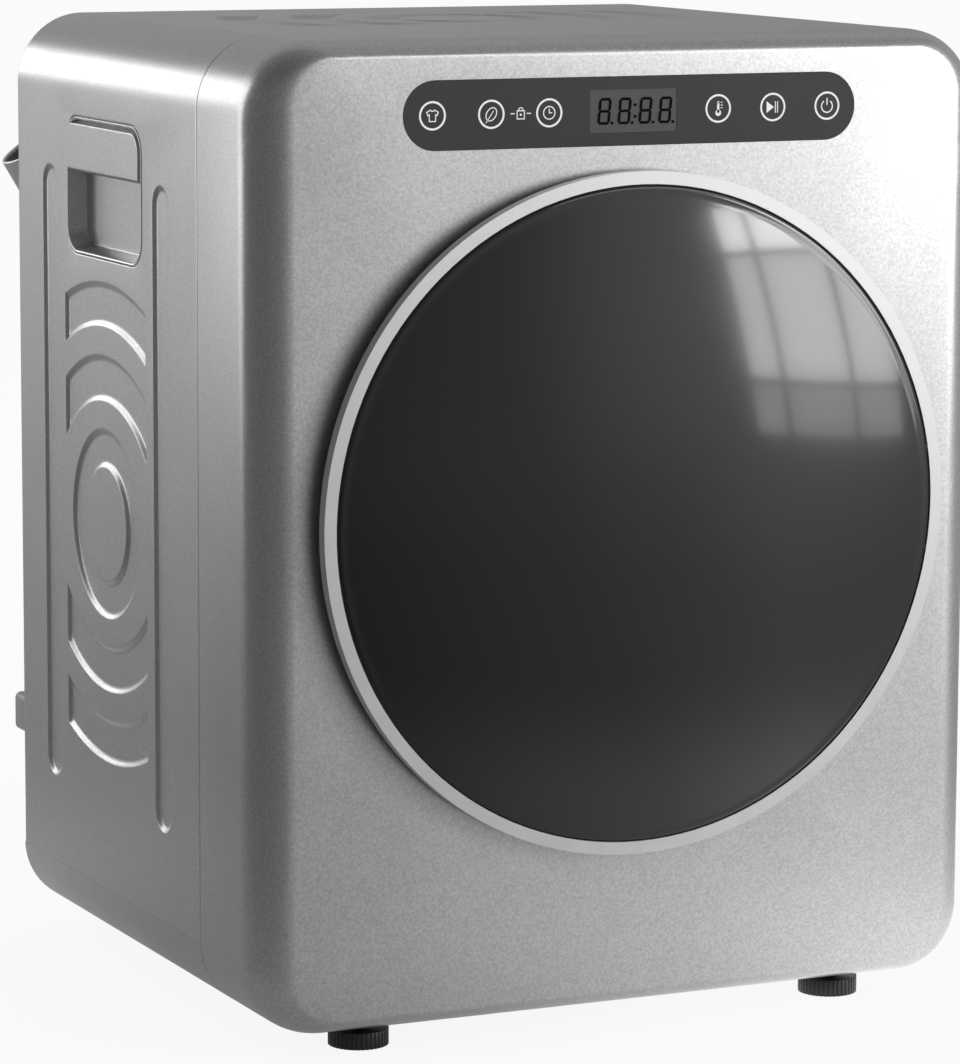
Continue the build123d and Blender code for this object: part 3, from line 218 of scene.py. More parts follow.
finishes = {
    "silver_paint": finish_of(
        "satin_silver_paint", (0.52, 0.524, 0.53), 0.31, metallic=0.92, grain=780, contrast=0.14,
        rough_swing=0.02, relief=0.00001, relief_scale=780, detail=1.5,
    ),
    "galvanised": galvanised_finish("galvanised_sheet", (0.55, 0.56, 0.57)),
    "stainless": finish_of(
        "brushed_stainless", (0.62, 0.62, 0.63), 0.3, metallic=1.0, grain=500, contrast=0.08,
        rough_swing=0.06, stretch=(1, 0.04, 1),
    ),
    "steel": finish_of(
        "plain_steel", (0.52, 0.52, 0.53), 0.32, metallic=1.0, grain=900, contrast=0.05,
    ),
    "silver_plastic": finish_of(
        "satin_silver_ring", (0.6, 0.605, 0.61), 0.34, metallic=0.85, grain=1800, contrast=0.08,
        rough_swing=0.03, relief=0.00001,
    ),
    "black_plastic": finish_of(
        "black_plastic", (0.012, 0.012, 0.013), 0.42, grain=1600, contrast=0.2, relief=0.00003,
    ),
    "grey_plastic": finish_of(
        "grey_plastic", (0.24, 0.245, 0.25), 0.42, grain=1400, contrast=0.07, relief=0.00002,
    ),
    "white_plastic": finish_of(
        "white_plastic", (0.74, 0.74, 0.73), 0.4, grain=1400, contrast=0.03, relief=0.00002,
    ),
    "strip_lens": finish_of(
        "tinted_strip", (0.036, 0.037, 0.039), 0.4, grain=2200, contrast=0.06, rough_swing=0.03,
        specular=0.2,
    ),
    "display_lens": finish_of(
        "smoked_display", (0.075, 0.078, 0.082), 0.4, grain=2200, contrast=0.04, rough_swing=0.03,
        specular=0.2,
    ),
    "tinted_glass": finish_of(
        "black_gloss_dome", (0.0022, 0.0023, 0.0026), 0.12, grain=300, contrast=0.2,
        rough_swing=0.025, coat=0.3, coat_roughness=0.05,
    ),
    "clear_glass": finish_of(
        "clear_bowl_glass", (0.86, 0.9, 0.89), 0.04, grain=200, contrast=0.02,
        rough_swing=0.02, transmission=1.0,
    ),
    "rubber": finish_of(
        "black_rubber", (0.016, 0.016, 0.016), 0.7, grain=1000, contrast=0.2, relief=0.00004,
    ),
    "grey_rubber": finish_of(
        "grey_rubber", (0.13, 0.13, 0.135), 0.62, grain=1000, contrast=0.12, relief=0.00003,
    ),
    "felt": finish_of(
        "wool_felt", (0.6, 0.57, 0.5), 0.92, grain=900, contrast=0.16, relief=0.0002,
        relief_scale=700, sheen=0.35, detail=6.0,
    ),
    "motor_paint": finish_of(
        "motor_paint", (0.035, 0.035, 0.04), 0.36, grain=600, contrast=0.12, relief=0.00005,
    ),
    "aluminium": finish_of(
        "cast_aluminium", (0.6, 0.6, 0.61), 0.36, metallic=1.0, grain=700, contrast=0.06,
        relief=0.00003,
    ),
    "circuit": finish_of(
        "circuit_board", (0.02, 0.11, 0.04), 0.35, grain=260, contrast=0.5, detail=1.0,
    ),
}
white_print = finish_of(
    "white_print", (0.88, 0.88, 0.88), 0.5, grain=2500, contrast=0.03, specular=0.3
)
digit_print = finish_of(
    "display_digits", (0.001, 0.001, 0.0011), 0.5, grain=2500, contrast=0.1, specular=0.04
)

slot_of = {part["node"]: part["material_slot"] for part in frame["record"]["subparts"]}


def coat_with(made, material):
    """Give a piece one material and nothing else."""
    made.data.materials.clear()
    made.data.materials.append(material)
    for face in made.data.polygons:
        face.material_index = 0


def settle(made, body, slot, replaced=(), material=None):
    """Dress a finished piece and join it to its body."""
    coat_with(made, material or finishes[slot])
    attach(made, body)
    if replaced:
        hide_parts(*replaced)
    return made


# Carried nodes
def crisp_edges_tree():
    """Smooth shading broken only at edges sharper than the given angle."""
    tree = bpy.data.node_groups.new("crisp_edges", "GeometryNodeTree")
    tree.interface.new_socket("Geometry", in_out="INPUT", socket_type="NodeSocketGeometry")
    limit = tree.interface.new_socket("Edge Angle", in_out="INPUT", socket_type="NodeSocketFloat")
    limit.default_value = math.radians(35)
    tree.interface.new_socket("Geometry", in_out="OUTPUT", socket_type="NodeSocketGeometry")
    start = tree.nodes.new("NodeGroupInput")
    end = tree.nodes.new("NodeGroupOutput")
    rounds = tree.nodes.new("GeometryNodeSetShadeSmooth")
    rounds.domain = "FACE"
    rounds.inputs["Shade Smooth"].default_value = True
    creases = tree.nodes.new("GeometryNodeSetShadeSmooth")
    creases.domain = "EDGE"
    creases.inputs["Shade Smooth"].default_value = False
    angle = tree.nodes.new("GeometryNodeInputMeshEdgeAngle")
    above = tree.nodes.new("FunctionNodeCompare")
    above.data_type = "FLOAT"
    above.operation = "GREATER_THAN"
    tree.links.new(start.outputs["Geometry"], rounds.inputs["Geometry"])
    tree.links.new(rounds.outputs["Geometry"], creases.inputs["Geometry"])
    tree.links.new(angle.outputs["Unsigned Angle"], above.inputs["A"])
    tree.links.new(start.outputs["Edge Angle"], above.inputs["B"])
    tree.links.new(above.outputs["Result"], creases.inputs["Selection"])
    tree.links.new(creases.outputs["Geometry"], end.inputs["Geometry"])
    return tree


crisp_edges = crisp_edges_tree()


def refine(made, bevel=0.0):
    """Weld a carried node's triangles, break its edges by a width in millimetres and shade it."""
    weld = made.modifiers.new("weld", "WELD")
    weld.merge_threshold = 0.000004
    if bevel:
        soft = made.modifiers.new("broken_edges", "BEVEL")
        soft.limit_method = "ANGLE"
        soft.angle_limit = math.radians(38)
        soft.width = bevel * MM
        soft.segments = 2
        soft.use_clamp_overlap = True
        soft.harden_normals = False
    made.modifiers.new("crisp_edges", "NODES").node_group = crisp_edges


edge_breaks = {
    "rear_standoffs": 0.8, "cord_gland": 0.4,
    "foot_front_left": 0.2, "foot_front_right": 0.2, "foot_rear_left": 0.2, "foot_rear_right": 0.2,
}
for node_name, node in nodes.items():
    coat_with(node, finishes[slot_of[node_name]])
    refine(node, edge_breaks.get(node_name, 0.0))


# Pressed wrap
# Rows across a pressed edge: (distance into the pressing, depth below the sheet)
PRESS_ROWS = (
    (-1.2, 0.0), (-0.3, 0.0), (0.0, 0.03), (0.4, 0.22), (2.0, 1.24), (2.6, 1.58), (3.2, 1.81),
    (4.0, PRESS), (4.8, PRESS),
)
# The pattern's bands span HALF_BAND to each side, and their heights are shares of SIZE
SIZE = 151.0
HALF_BAND = 71.0
SLOT_RADIUS, SLOT_ACROSS, SLOT_LOW, SLOT_HIGH = 13.5, 97.0, 113.0, 508.0
BAND_TURNS, SIDE_STEPS = 49, 6


def crescent(far, near, sign):
    """Outline of one pressed band, as a function of how far it is drawn in."""
    def outline(into):
        half = HALF_BAND - into
        points = []
        for (top_share, end_share), grow, turns in ((far, -into, 1), (near, into, -1)):
            top, end = SIZE * top_share, SIZE * end_share
            bend = (HALF_BAND**2 + (top - end) ** 2) / (2 * (top - end))
            radius, centre = bend + grow, top - bend
            reach = math.asin(half / radius)
            arc = [
                (radius * math.sin(a) * turns, centre + radius * math.cos(a))
                for a in np.linspace(-reach, reach, BAND_TURNS)
            ]
            if points:
                points += side_points(points[-1], arc[0])
            points += arc
        points += side_points(points[-1], points[0])
        return [(across, sign * along) for across, along in points]

    return outline


def side_points(start, end):
    """Points between two corners."""
    return [
        (start[0] + (end[0] - start[0]) * t, start[1] + (end[1] - start[1]) * t)
        for t in (step / SIDE_STEPS for step in range(1, SIDE_STEPS))
    ]


def circle(radius, grow):
    """A round outline that shrinks or grows as it is drawn in."""
    return lambda into: [
        ((radius - grow * into) * math.cos(a), (radius - grow * into) * math.sin(a))
        for a in np.linspace(0, 2 * math.pi, 97)[:-1]
    ]


def slot_outline(centre, low, high):
    """Outline of one long upright slot, as a function of how far it is drawn in."""
    def outline(into):
        radius = SLOT_RADIUS - into
        ends = []
        for z, start in ((high - SLOT_RADIUS, 0.0), (low + SLOT_RADIUS, math.pi)):
            ends += [
                (centre + radius * math.cos(start + a), z + radius * math.sin(start + a))
                for a in np.linspace(0, math.pi, 25)
            ]
        return ends

    return outline


# A grip's height over the floor, half its width and height, and its corner radius
GRIP_Z, GRIP_ACROSS, GRIP_UP, GRIP_CORNER = 498.0, 66.2, 43.2, 17.7
SEAM_END, SEAM_FADE = 3, 13


def grip_edge(into):
    """Rounded outline of a grip drawn in by a distance, about its middle."""
    radius, points = GRIP_CORNER - into, []
    for corner, (sx, sz) in enumerate(((1, 1), (-1, 1), (-1, -1), (1, -1))):
        for a in np.linspace(90 * corner, 90 * corner + 90, 13):
            turn = math.radians(a)
            points.append(
                (sx * (GRIP_ACROSS - GRIP_CORNER) + radius * math.cos(turn),
                 sz * (GRIP_UP - GRIP_CORNER) + radius * math.sin(turn))
            )
    return points


def grip_outline(into):
    """The edge round a grip, about the middle of the pattern."""
    return [(across, GRIP_Z - PATTERN_Z + up) for across, up in grip_edge(into)]


def seam_share(across):
    """How deep the seam round a grip is: whole at the front, gone along the rear edge."""
    return min(1.0, max(0.0, (GRIP_ACROSS - SEAM_END - across) / SEAM_FADE))


# Rolled edge of the sheet round a grip, as (distance in, depth)
ROLLED_EDGE = ((-0.9, 0.0), (-0.5, 0.03), (-0.15, 0.28), (0.1, 0.9))


def odd_inside(places, loops):
    """Which places lie inside an odd number of the loops."""
    odd = np.zeros(len(places), bool)
    for loop in loops:
        ring = np.array(loop)
        start, end = ring, np.roll(ring, -1, axis=0)
        x, y = places[:, 0][:, None], places[:, 1][:, None]
        spans = (start[:, 1] > y) != (end[:, 1] > y)
        with np.errstate(divide="ignore", invalid="ignore"):
            crossing = start[:, 0] + (y - start[:, 1]) * (end[:, 0] - start[:, 0]) / (
                end[:, 1] - start[:, 1]
            )
        odd ^= (np.sum(spans & (x < crossing), axis=1) % 2).astype(bool)
    return odd


class Sheet:
    """Points and faces of the wrap, gathered in the machine's millimetres."""

    def __init__(self):
        self.points, self.faces = [], []

    def strip(self, first, second, closed=True):
        """Quads between two rows of the same count."""
        start, count = len(self.points), len(first)
        self.points += list(first) + list(second)
        for i in range(count if closed else count - 1):
            k = (i + 1) % count
            self.faces.append((start + i, start + k, start + count + k, start + count + i))

    def panel(self, place, low, high, outlines, rings, holes):
        """A flat side: place maps (across, along, depth of press) to a point."""
        loops = [[(low[0], low[1]), (high[0], low[1]), (high[0], high[1]), (low[0], high[1])]]
        for outline in outlines + [edge for ring in rings for edge in ring]:
            for (into, sunk), (next_into, next_sunk) in zip(PRESS_ROWS, PRESS_ROWS[1:]):
                self.strip(
                    [place(*p, sunk) for p in outline(into)],
                    [place(*p, next_sunk) for p in outline(next_into)],
                )
            loops.append(outline(PRESS_ROWS[0][0]))
        for outline in outlines:
            start = len(self.points)
            floor_edge = outline(PRESS_ROWS[-1][0])
            self.points += [place(*p, PRESS) for p in floor_edge]
            self.faces.append(tuple(range(start, start + len(floor_edge))))
        for outer, inner in rings:
            self.strip(
                [place(*p, PRESS) for p in outer(PRESS_ROWS[-1][0])],
                [place(*p, PRESS) for p in inner(PRESS_ROWS[-1][0])],
            )
        loops += holes
        corners, edges = [], []
        for loop in loops:
            start = len(corners)
            corners += [Vector(p) for p in loop]
            edges += [(start + i, start + (i + 1) % len(loop)) for i in range(len(loop))]
        made = delaunay_2d_cdt(corners, edges, [], 0, 1e-6)
        spots, triangles = made[0], made[2]
        middles = np.array([[sum(spots[i][c] for i in t) / 3 for c in (0, 1)] for t in triangles])
        keep = ~odd_inside(middles, loops[1:])
        start = len(self.points)
        self.points += [place(p[0], p[1], 0.0) for p in spots]
        for triangle, kept in zip(triangles, keep):
            if kept:
                self.faces.append(tuple(start + i for i in triangle))


bands = [
    crescent(far, near, sign)
    for sign in (1, -1)
    for far, near in (((1.0, 0.911), (0.818, 0.705)), ((0.699, 0.56), (0.51, 0.311)))
]
centre_ring = (circle(0.394 * SIZE, 1), circle(0.235 * SIZE, -1))
slots = [
    slot_outline(centre, SLOT_LOW - PATTERN_Z, SLOT_HIGH - PATTERN_Z)
    for centre in (-SLOT_ACROSS, SLOT_ACROSS)
]
# Where the flat of the sheet ends: front and rear, at the base, below the corner, beside it on top
FLAT_START, FLAT_END = WRAP_START + 2.0, 402.5
FLAT_LOW, FLAT_HIGH, FLAT_TOP = SPLIT + 1.5, 552.0, 192.0
across_range = (FLAT_START - WRAP_MIDDLE, FLAT_END - WRAP_MIDDLE)


def lay_side(sheet, side):
    """One flat side with its pressings and the rolled edge round its grip."""
    sheet.panel(
        lambda across, along, sunk: (
            side * (WIDTH / 2 - sunk), WRAP_MIDDLE + across, PATTERN_Z + along
        ),
        (across_range[0], FLAT_LOW - PATTERN_Z),
        (across_range[1], FLAT_HIGH - PATTERN_Z),
        bands + slots, [centre_ring], [grip_outline(ROLLED_EDGE[0][0])],
    )
    rolled = [
        [
            (
                side * (WIDTH / 2 - sunk * seam_share(across)),
                WRAP_MIDDLE + across,
                PATTERN_Z + along,
            )
            for across, along in grip_outline(into)
        ]
        for into, sunk in ROLLED_EDGE
    ]
    for first, second in zip(rolled, rolled[1:]):
        sheet.strip(first, second)


def lay_top(sheet):
    """The flat top with its pressings."""
    sheet.panel(
        lambda across, along, sunk: (along, WRAP_MIDDLE + across, TOP - sunk),
        (across_range[0], -FLAT_TOP), (across_range[1], FLAT_TOP), bands, [centre_ring], [],
    )


def sheet_path():
    """The sheet's outline from the front: (x, z) and the way out of the sheet."""
    centre_x, centre_z = WIDTH / 2 - CORNER, TOP - CORNER
    path = [(-WIDTH / 2, z, -1.0, 0.0) for z in (SPLIT, FLAT_LOW, FLAT_HIGH)]
    path += [
        (CORNER * math.cos(a) - centre_x, CORNER * math.sin(a) + centre_z, math.cos(a), math.sin(a))
        for a in (math.radians(v) for v in np.linspace(180, 90, 31))
    ]
    path += [(-FLAT_TOP, TOP, 0.0, 1.0)]
    return path + [(-x, z, -nx, nz) for x, z, nx, nz in reversed(path)]


# Rows of (depth, inset): the sheet's front edge, and its roll over the rear
EDGE_ROWS = (
    (WRAP_START, 0.4), (WRAP_START + 0.12, 0.12), (WRAP_START + 0.4, 0.0), (FLAT_START, 0.0),
)
REAR_ROWS = (
    (FLAT_END, 0.0), (DEPTH - 1.8, 0.0), (DEPTH - 1.0, 0.22), (DEPTH - 0.4, 0.7),
    (DEPTH - 0.08, 1.25), (DEPTH, 1.9), (DEPTH, 15.0),
)


def lay_edges(sheet):
    """The front and rear edges, and the rounds and margins between the flat panels."""
    path = sheet_path()

    def row_points(row):
        depth, inset = row
        return [(x - nx * inset, depth, z - nz * inset) for x, z, nx, nz in path]

    for rows in (EDGE_ROWS, REAR_ROWS):
        for first, second in zip(rows, rows[1:]):
            sheet.strip(row_points(first), row_points(second), closed=False)
    front_line, rear_line = row_points(EDGE_ROWS[-1]), row_points(REAR_ROWS[0])
    flat_stretches = {1, len(path) // 2 - 1, len(path) - 3}
    for i in range(len(path) - 1):
        if i not in flat_stretches:
            sheet.strip(front_line[i:i + 2], rear_line[i:i + 2], closed=False)


wrap_sheet = Sheet()
for side in (-1, 1):
    lay_side(wrap_sheet, side)
lay_top(wrap_sheet)
lay_edges(wrap_sheet)


def baked(made):
    """The object with its modifiers turned into plain mesh."""
    graph = bpy.context.evaluated_depsgraph_get()
    mesh = bpy.data.meshes.new_from_object(made.evaluated_get(graph))
    made.modifiers.clear()
    old, made.data = made.data, mesh
    name = old.name
    bpy.data.meshes.remove(old)
    mesh.name = name
    return made


def facing_out(made):
    """Clean the open sheet and turn its faces away from the cabinet's middle."""
    work = bmesh.new()
    work.from_mesh(made.data)
    bmesh.ops.remove_doubles(work, verts=work.verts, dist=SAME_POINT)
    bmesh.ops.delete(work, geom=[v for v in work.verts if not v.link_faces], context="VERTS")
    bmesh.ops.recalc_face_normals(work, faces=work.faces)
    leftmost = min(work.faces, key=lambda face: face.calc_center_median().x)
    if leftmost.normal.x > 0:
        bmesh.ops.reverse_faces(work, faces=work.faces)
    work.to_mesh(made.data)
    work.free()


SHEET_WALL = 0.9
wrap = plain_mesh("wrap", [spot(*p) for p in wrap_sheet.points], wrap_sheet.faces)
facing_out(wrap)
wall = wrap.modifiers.new("sheet", "SOLIDIFY")
wall.thickness = SHEET_WALL * MM
wall.offset = -1.0
wrap.modifiers.new("crisp_edges", "NODES").node_group = crisp_edges
settle(baked(wrap), "cabinet", "silver_paint", ["cabinet_wrap"])


# Pocket grips
# Rows of the frame and pocket: (distance in from the edge, depth, 1 where it fades at the rear)
FRAME_ROWS = (
    (0.6, 2.7, 0), (-0.4, 1.7, 0), (0.14, 1.2, 1), (0.45, 0.7, 1), (0.9, -0.12, 1), (1.3, -0.2, 1),
    (1.6, -0.06, 1), (2.0, 0.14, 1), (2.3, 0.6, 0), (4.6, 11.3, 0), (4.9, 11.8, 0), (5.4, 12.0, 0),
    (6.0, 12.0, 0),
)
# The pocket's outer back: (distance in from the edge, depth)
POCKET_BACK = (3.4, 13.8)
# Rows of the plate over the upper half: (distance out, depth, distance up from its lower edge)
PLATE_ROWS = (
    (-1.0, -0.02, 2.5), (-0.35, -0.02, 1.9), (0.0, 0.12, 1.6), (0.35, 0.6, 0.95), (1.1, 1.8, 0.1),
    (2.35, 3.8, 0.0), (2.8, 4.2, 0.0),
)
PLATE_FRONT, PLATE_TOP, PLATE_LOW, PLATE_CORNER, PLATE_SEAT = -59.2, 37.7, 8.0, 12.0, 2.0
PLATE_BACK = (4.25, 5.6)


def arc_points(centre, radius, start, end, count):
    """Points on an arc between two angles in degrees."""
    return [
        (centre[0] + radius * math.cos(a), centre[1] + radius * math.sin(a))
        for a in np.radians(np.linspace(start, end, count))
    ]


def plate_outline(out, low, seat=False):
    """The plate's edge from its low front corner to its low rear one; seat is its hidden back."""
    frame_radius = GRIP_CORNER - PLATE_SEAT
    rear, high = GRIP_ACROSS - GRIP_CORNER, GRIP_UP - GRIP_CORNER
    if seat:
        front, corner, radius, meets = -rear - frame_radius, (-rear, high), frame_radius, 90.0
    else:
        front, radius = PLATE_FRONT - out, PLATE_CORNER + out
        corner = (PLATE_FRONT + PLATE_CORNER, PLATE_TOP - PLATE_CORNER)
        meets = math.degrees(math.asin((PLATE_TOP + out - high) / frame_radius))
    points = [(front, PLATE_LOW + low)] + arc_points(corner, radius, 180, 90, 12)
    points += arc_points((rear, high), frame_radius, meets, 0, 8)
    return points + [(rear + frame_radius, PLATE_LOW + low)]


def grip_piece(side, body):
    """One grip: a frame with its pocket and the plate that closes the upper half."""
    points, faces = [], []

    def loop(outline, depths):
        """Points of one outline, each at its depth, and their numbers."""
        start = len(points)
        for (across, up), sunk in zip(outline, depths):
            points.append(spot(side * (WIDTH / 2 - sunk), WRAP_MIDDLE + across, GRIP_Z + up))
        return list(range(start, len(points)))

    def shell(loops):
        """A closed skin through the loops."""
        for first, second in zip(loops, loops[1:]):
            for i in range(len(first)):
                k = (i + 1) % len(first)
                faces.append((first[i], first[k], second[k], second[i]))
        faces.append(tuple(loops[0]))
        faces.append(tuple(reversed(loops[-1])))

    def faded(into, sunk, fades):
        """A frame loop, level with the sheet at the rear where it fades."""
        outline = grip_edge(into)
        return loop(outline, [sunk * (seam_share(across) if fades else 1.0) for across, _ in outline])

    back = loop(grip_edge(POCKET_BACK[0]), [POCKET_BACK[1]] * len(grip_edge(0)))
    shell([back] + [faded(*row) for row in FRAME_ROWS])
    outlines = [(plate_outline(out, low), sunk) for out, sunk, low in PLATE_ROWS]
    outlines += [(plate_outline(0, 0, seat=True), sunk) for sunk in PLATE_BACK]
    shell([loop(outline, [sunk] * len(outline)) for outline, sunk in outlines])
    made = outward(plain_mesh("grip_" + body, points, faces))
    made.modifiers.new("crisp_edges", "NODES").node_group = crisp_edges
    return baked(made)


for side, side_name in ((-1, "left"), (1, "right")):
    grip = grip_piece(side, side_name)
    settle(grip, "cabinet", "silver_plastic", ["handle_" + side_name], finishes["silver_paint"])


# Exhaust hood
# Middle and radius of the hood at the rear panel and at its mouth, and the way the mouth faces
HOOD_BASE, HOOD_BASE_RADIUS = Vector((-168.0, 408.4, 469.0)), 53.0
HOOD_MOUTH, HOOD_MOUTH_RADIUS = Vector((-196.0, 449.0, 521.5)), 43.0
HOOD_LOOKS = Vector((-0.5, 0.09, 0.86)).normalized()
HOOD_TURN = Vector((0, 1, 0)).rotation_difference(HOOD_LOOKS)
HOOD_TURNS = 96
# The hood's wall, then the wall, gap and end share of a black sleeve just inside it: painted shade that
# darkens the hood's throat
HOOD_WALL, SHADE_SLEEVE_WALL, SHADE_SLEEVE_GAP, SHADE_SLEEVE_END = 2.0, 0.45, 0.05, 0.99
LIP_RADIUS = 1.15


def hood_ring(share, inset, lift=0.0):
    """Ring of the hood, a share of the way from the rear panel to the mouth."""
    ring = []
    for i in range(HOOD_TURNS):
        a = 2 * math.pi * i / HOOD_TURNS
        flat = Vector((math.cos(a), 0, math.sin(a)))
        low = HOOD_BASE + flat * (HOOD_BASE_RADIUS - inset)
        high = HOOD_MOUTH + HOOD_TURN @ flat * (HOOD_MOUTH_RADIUS - inset) + HOOD_LOOKS * lift
        ring.append(low.lerp(high, share))
    return ring


def hood_tube(name, rows):
    """A closed tube through rows of (share, inset, lift)."""
    points, faces, count = [], [], len(rows)
    for row in rows:
        points += [spot(*p) for p in hood_ring(*row)]
    for j in range(count):
        for i in range(HOOD_TURNS):
            k, m = (i + 1) % HOOD_TURNS, (j + 1) % count
            faces.append((
                j * HOOD_TURNS + i, j * HOOD_TURNS + k, m * HOOD_TURNS + k, m * HOOD_TURNS + i
            ))
    return outward(plain_mesh(name, points, faces))


steps = [step / 8 for step in range(9)]
hood = hood_tube(
    "hood",
    [(share, 0.0) for share in steps] + [(1.0, HOOD_WALL)]
    + [(share, HOOD_WALL) for share in reversed(steps)],
)
hood.modifiers.new("crisp_edges", "NODES").node_group = crisp_edges
settle(baked(hood), "cabinet", "grey_plastic", ["exhaust_hood"])
# A black sleeve just inside the hood's wall: painted shade standing in for the dark of the hood's throat,
# not a real lining
shade_sleeve_steps = steps[:-1]
shade_sleeve_out = HOOD_WALL + SHADE_SLEEVE_GAP
shade_sleeve_in = shade_sleeve_out + SHADE_SLEEVE_WALL
shade_sleeve = hood_tube(
    "hood_painted_shade_sleeve",
    [(share, shade_sleeve_out) for share in shade_sleeve_steps] + [(SHADE_SLEEVE_END, shade_sleeve_out), (SHADE_SLEEVE_END, shade_sleeve_in)]
    + [(share, shade_sleeve_in) for share in reversed(shade_sleeve_steps)],
)
settle(shade_sleeve, "cabinet", "black_plastic")
lip = [
    (1.0, HOOD_WALL / 2 - LIP_RADIUS * math.cos(a), LIP_RADIUS * math.sin(a))
    for a in np.linspace(0, 2 * math.pi, 11)[:-1]
]
settle(hood_tube("hood_lip", lip), "cabinet", "silver_plastic")


# Door dome
def lathe(name, profile, turns):
    """Closed profile of (depth, radius) turned about the drum axis."""
    points, faces = [], []
    count = len(profile)
    for i in range(turns):
        a = 2 * math.pi * i / turns
        for depth, radius in profile:
            points.append(spot(radius * math.sin(a), depth, AXIS_Z + radius * math.cos(a)))
    for i in range(turns):
        other = (i + 1) % turns
        for j in range(count):
            k = (j + 1) % count
            faces.append((i * count + j, i * count + k, other * count + k, other * count + j))
    return outward(plain_mesh(name, points, faces))


# The crown is nearly flat in the middle and turns down towards its rim
RIM, CROWN_EDGE, APEX, CROWN, WALL = 196.4, 191.9, -34.0, 17.4, 3.2
CROWN_POWER, RIM_FRONT, RIM_BACK = 2.5, -14.9, -13.0
RIM_INSIDE, HOLLOW_RADIUS = 0.95 * RIM, 0.93 * RIM
DOME_TURNS = 256


def dome_profile():
    """Section of the dome: crown, rim and the hollow behind the crown, as (depth, radius)."""
    crown = [(APEX + CROWN * t**CROWN_POWER, CROWN_EDGE * t) for t in np.linspace(0, 1, 65)]
    crown_low = APEX + CROWN
    profile = list(crown)
    for t in np.linspace(0, 1, 9)[1:]:
        a = math.radians(90 * t)
        profile.append((
            crown_low + (RIM_FRONT - crown_low) * (1 - math.cos(a)),
            CROWN_EDGE + (RIM - CROWN_EDGE) * math.sin(a),
        ))
    profile += [(RIM_BACK, RIM), (RIM_BACK, RIM_INSIDE)]
    return profile + [
        (depth + WALL, radius) for depth, radius in reversed(crown[::5]) if radius < HOLLOW_RADIUS
    ]


dome = lathe("dome", dome_profile(), DOME_TURNS)
settle(dome, "door", "tinted_glass", ["door_dome"])


# Printed symbols
class Print:
    """Flat shapes printed on the strip, gathered into one thin mesh."""

    def __init__(self, lift, thick):
        self.points, self.faces = [], []
        self.near, self.far = -lift - thick, -lift

    def solid(self, outline):
        """A filled shape from (x, z) corners."""
        start, count = len(self.points), len(outline)
        area = sum(
            outline[i][0] * outline[(i + 1) % count][1] - outline[(i + 1) % count][0] * outline[i][1]
            for i in range(count)
        )
        if area < 0:
            outline = outline[::-1]
        self.points += [spot(x, self.near, z) for x, z in outline]
        self.points += [spot(x, self.far, z) for x, z in outline]
        self.faces.append(tuple(range(start, start + count)))
        self.faces.append(tuple(range(start + 2 * count - 1, start + count - 1, -1)))
        for i in range(count):
            k = (i + 1) % count
            self.faces.append((start + k, start + i, start + count + i, start + count + k))

    def line(self, path, width, closed=False):
        """A line of even width through (x, z) points, with its joints cut to meet."""
        path = [Vector(p) for p in path]
        count = len(path)
        sides = []
        for i, here in enumerate(path):
            before = path[i - 1] if (i or closed) else None
            after = path[(i + 1) % count] if (i + 1 < count or closed) else None
            into = (here - before).normalized() if before is not None else None
            out = (after - here).normalized() if after is not None else None
            into, out = into or out, out or into
            normal = Vector((-(into.y + out.y), into.x + out.x)).normalized()
            reach = width / 2 / max(0.4, normal.dot(Vector((-into.y, into.x))))
            sides.append((here + normal * reach, here - normal * reach))
        for i in range(count if closed else count - 1):
            (a, b), (c, d) = sides[i], sides[(i + 1) % count]
            self.solid([tuple(a), tuple(b), tuple(d), tuple(c)])

    def arc(self, x, z, radius, width, start=0.0, end=360.0):
        """Part of a ring, between two angles in degrees."""
        turns = max(6, round(abs(end - start) / 9))
        angles = [math.radians(start + (end - start) * i / turns) for i in range(turns + 1)]
        closed = abs(end - start) >= 360
        path = [(x + radius * math.cos(a), z + radius * math.sin(a)) for a in angles]
        self.line(path[:-1] if closed else path, width, closed)

    def disc(self, x, z, radius, turns=20):
        """A filled circle."""
        self.solid([
            (x + radius * math.cos(2 * math.pi * i / turns), z + radius * math.sin(2 * math.pi * i / turns))
            for i in range(turns)
        ])

    def made(self, name):
        """The gathered shapes as one object."""
        return outward(plain_mesh(name, self.points, self.faces, smooth=False))


KEYS = {"garment": -129.8, "leaf": -92.3, "clock": -55.0, "thermometer": 56.2, "play": 92.9, "power": 129.7}
KEY_RADIUS, KEY_STROKE = 7.9, 1.2
LOCK_X, FINE, MEDIUM = -73.4, 0.5, 0.6
LEAF_HALF, LEAF_REACH, LEAF_TILT = 3.0, 4.2, math.radians(-35)
symbols = Print(0.0, 0.08)


def key_line(key_x, corners, width, closed=False):
    """A line about the middle of a key."""
    symbols.line([(key_x + x, STRIP_Z + z) for x, z in corners], width, closed)


def garment(x):
    """Outline of a short-sleeved shirt."""
    shirt = (
        (-1.2, 3.3), (-3.7, 2.0), (-2.9, 0.1), (-2.0, 0.6), (-2.0, -3.3), (2.0, -3.3), (2.0, 0.6),
        (2.9, 0.1), (3.7, 2.0), (1.2, 3.3), (0.55, 2.6), (-0.55, 2.6),
    )
    key_line(x, shirt, MEDIUM, True)


def leaf(x):
    """Two curved edges of a tilted leaf and its stalk."""
    cos, sin = math.cos(LEAF_TILT), math.sin(LEAF_TILT)
    for side, turns in ((1, (0, math.pi)), (-1, (math.pi, 0))):
        edge = [
            (LEAF_HALF * math.sin(a) * side, -LEAF_REACH * math.cos(a))
            for a in np.linspace(*turns, 11)
        ]
        key_line(x, [(u * cos - v * sin, u * sin + v * cos) for u, v in edge], MEDIUM)
    key_line(x, [(-3.5, -5.0), (1.4, 1.9)], FINE)


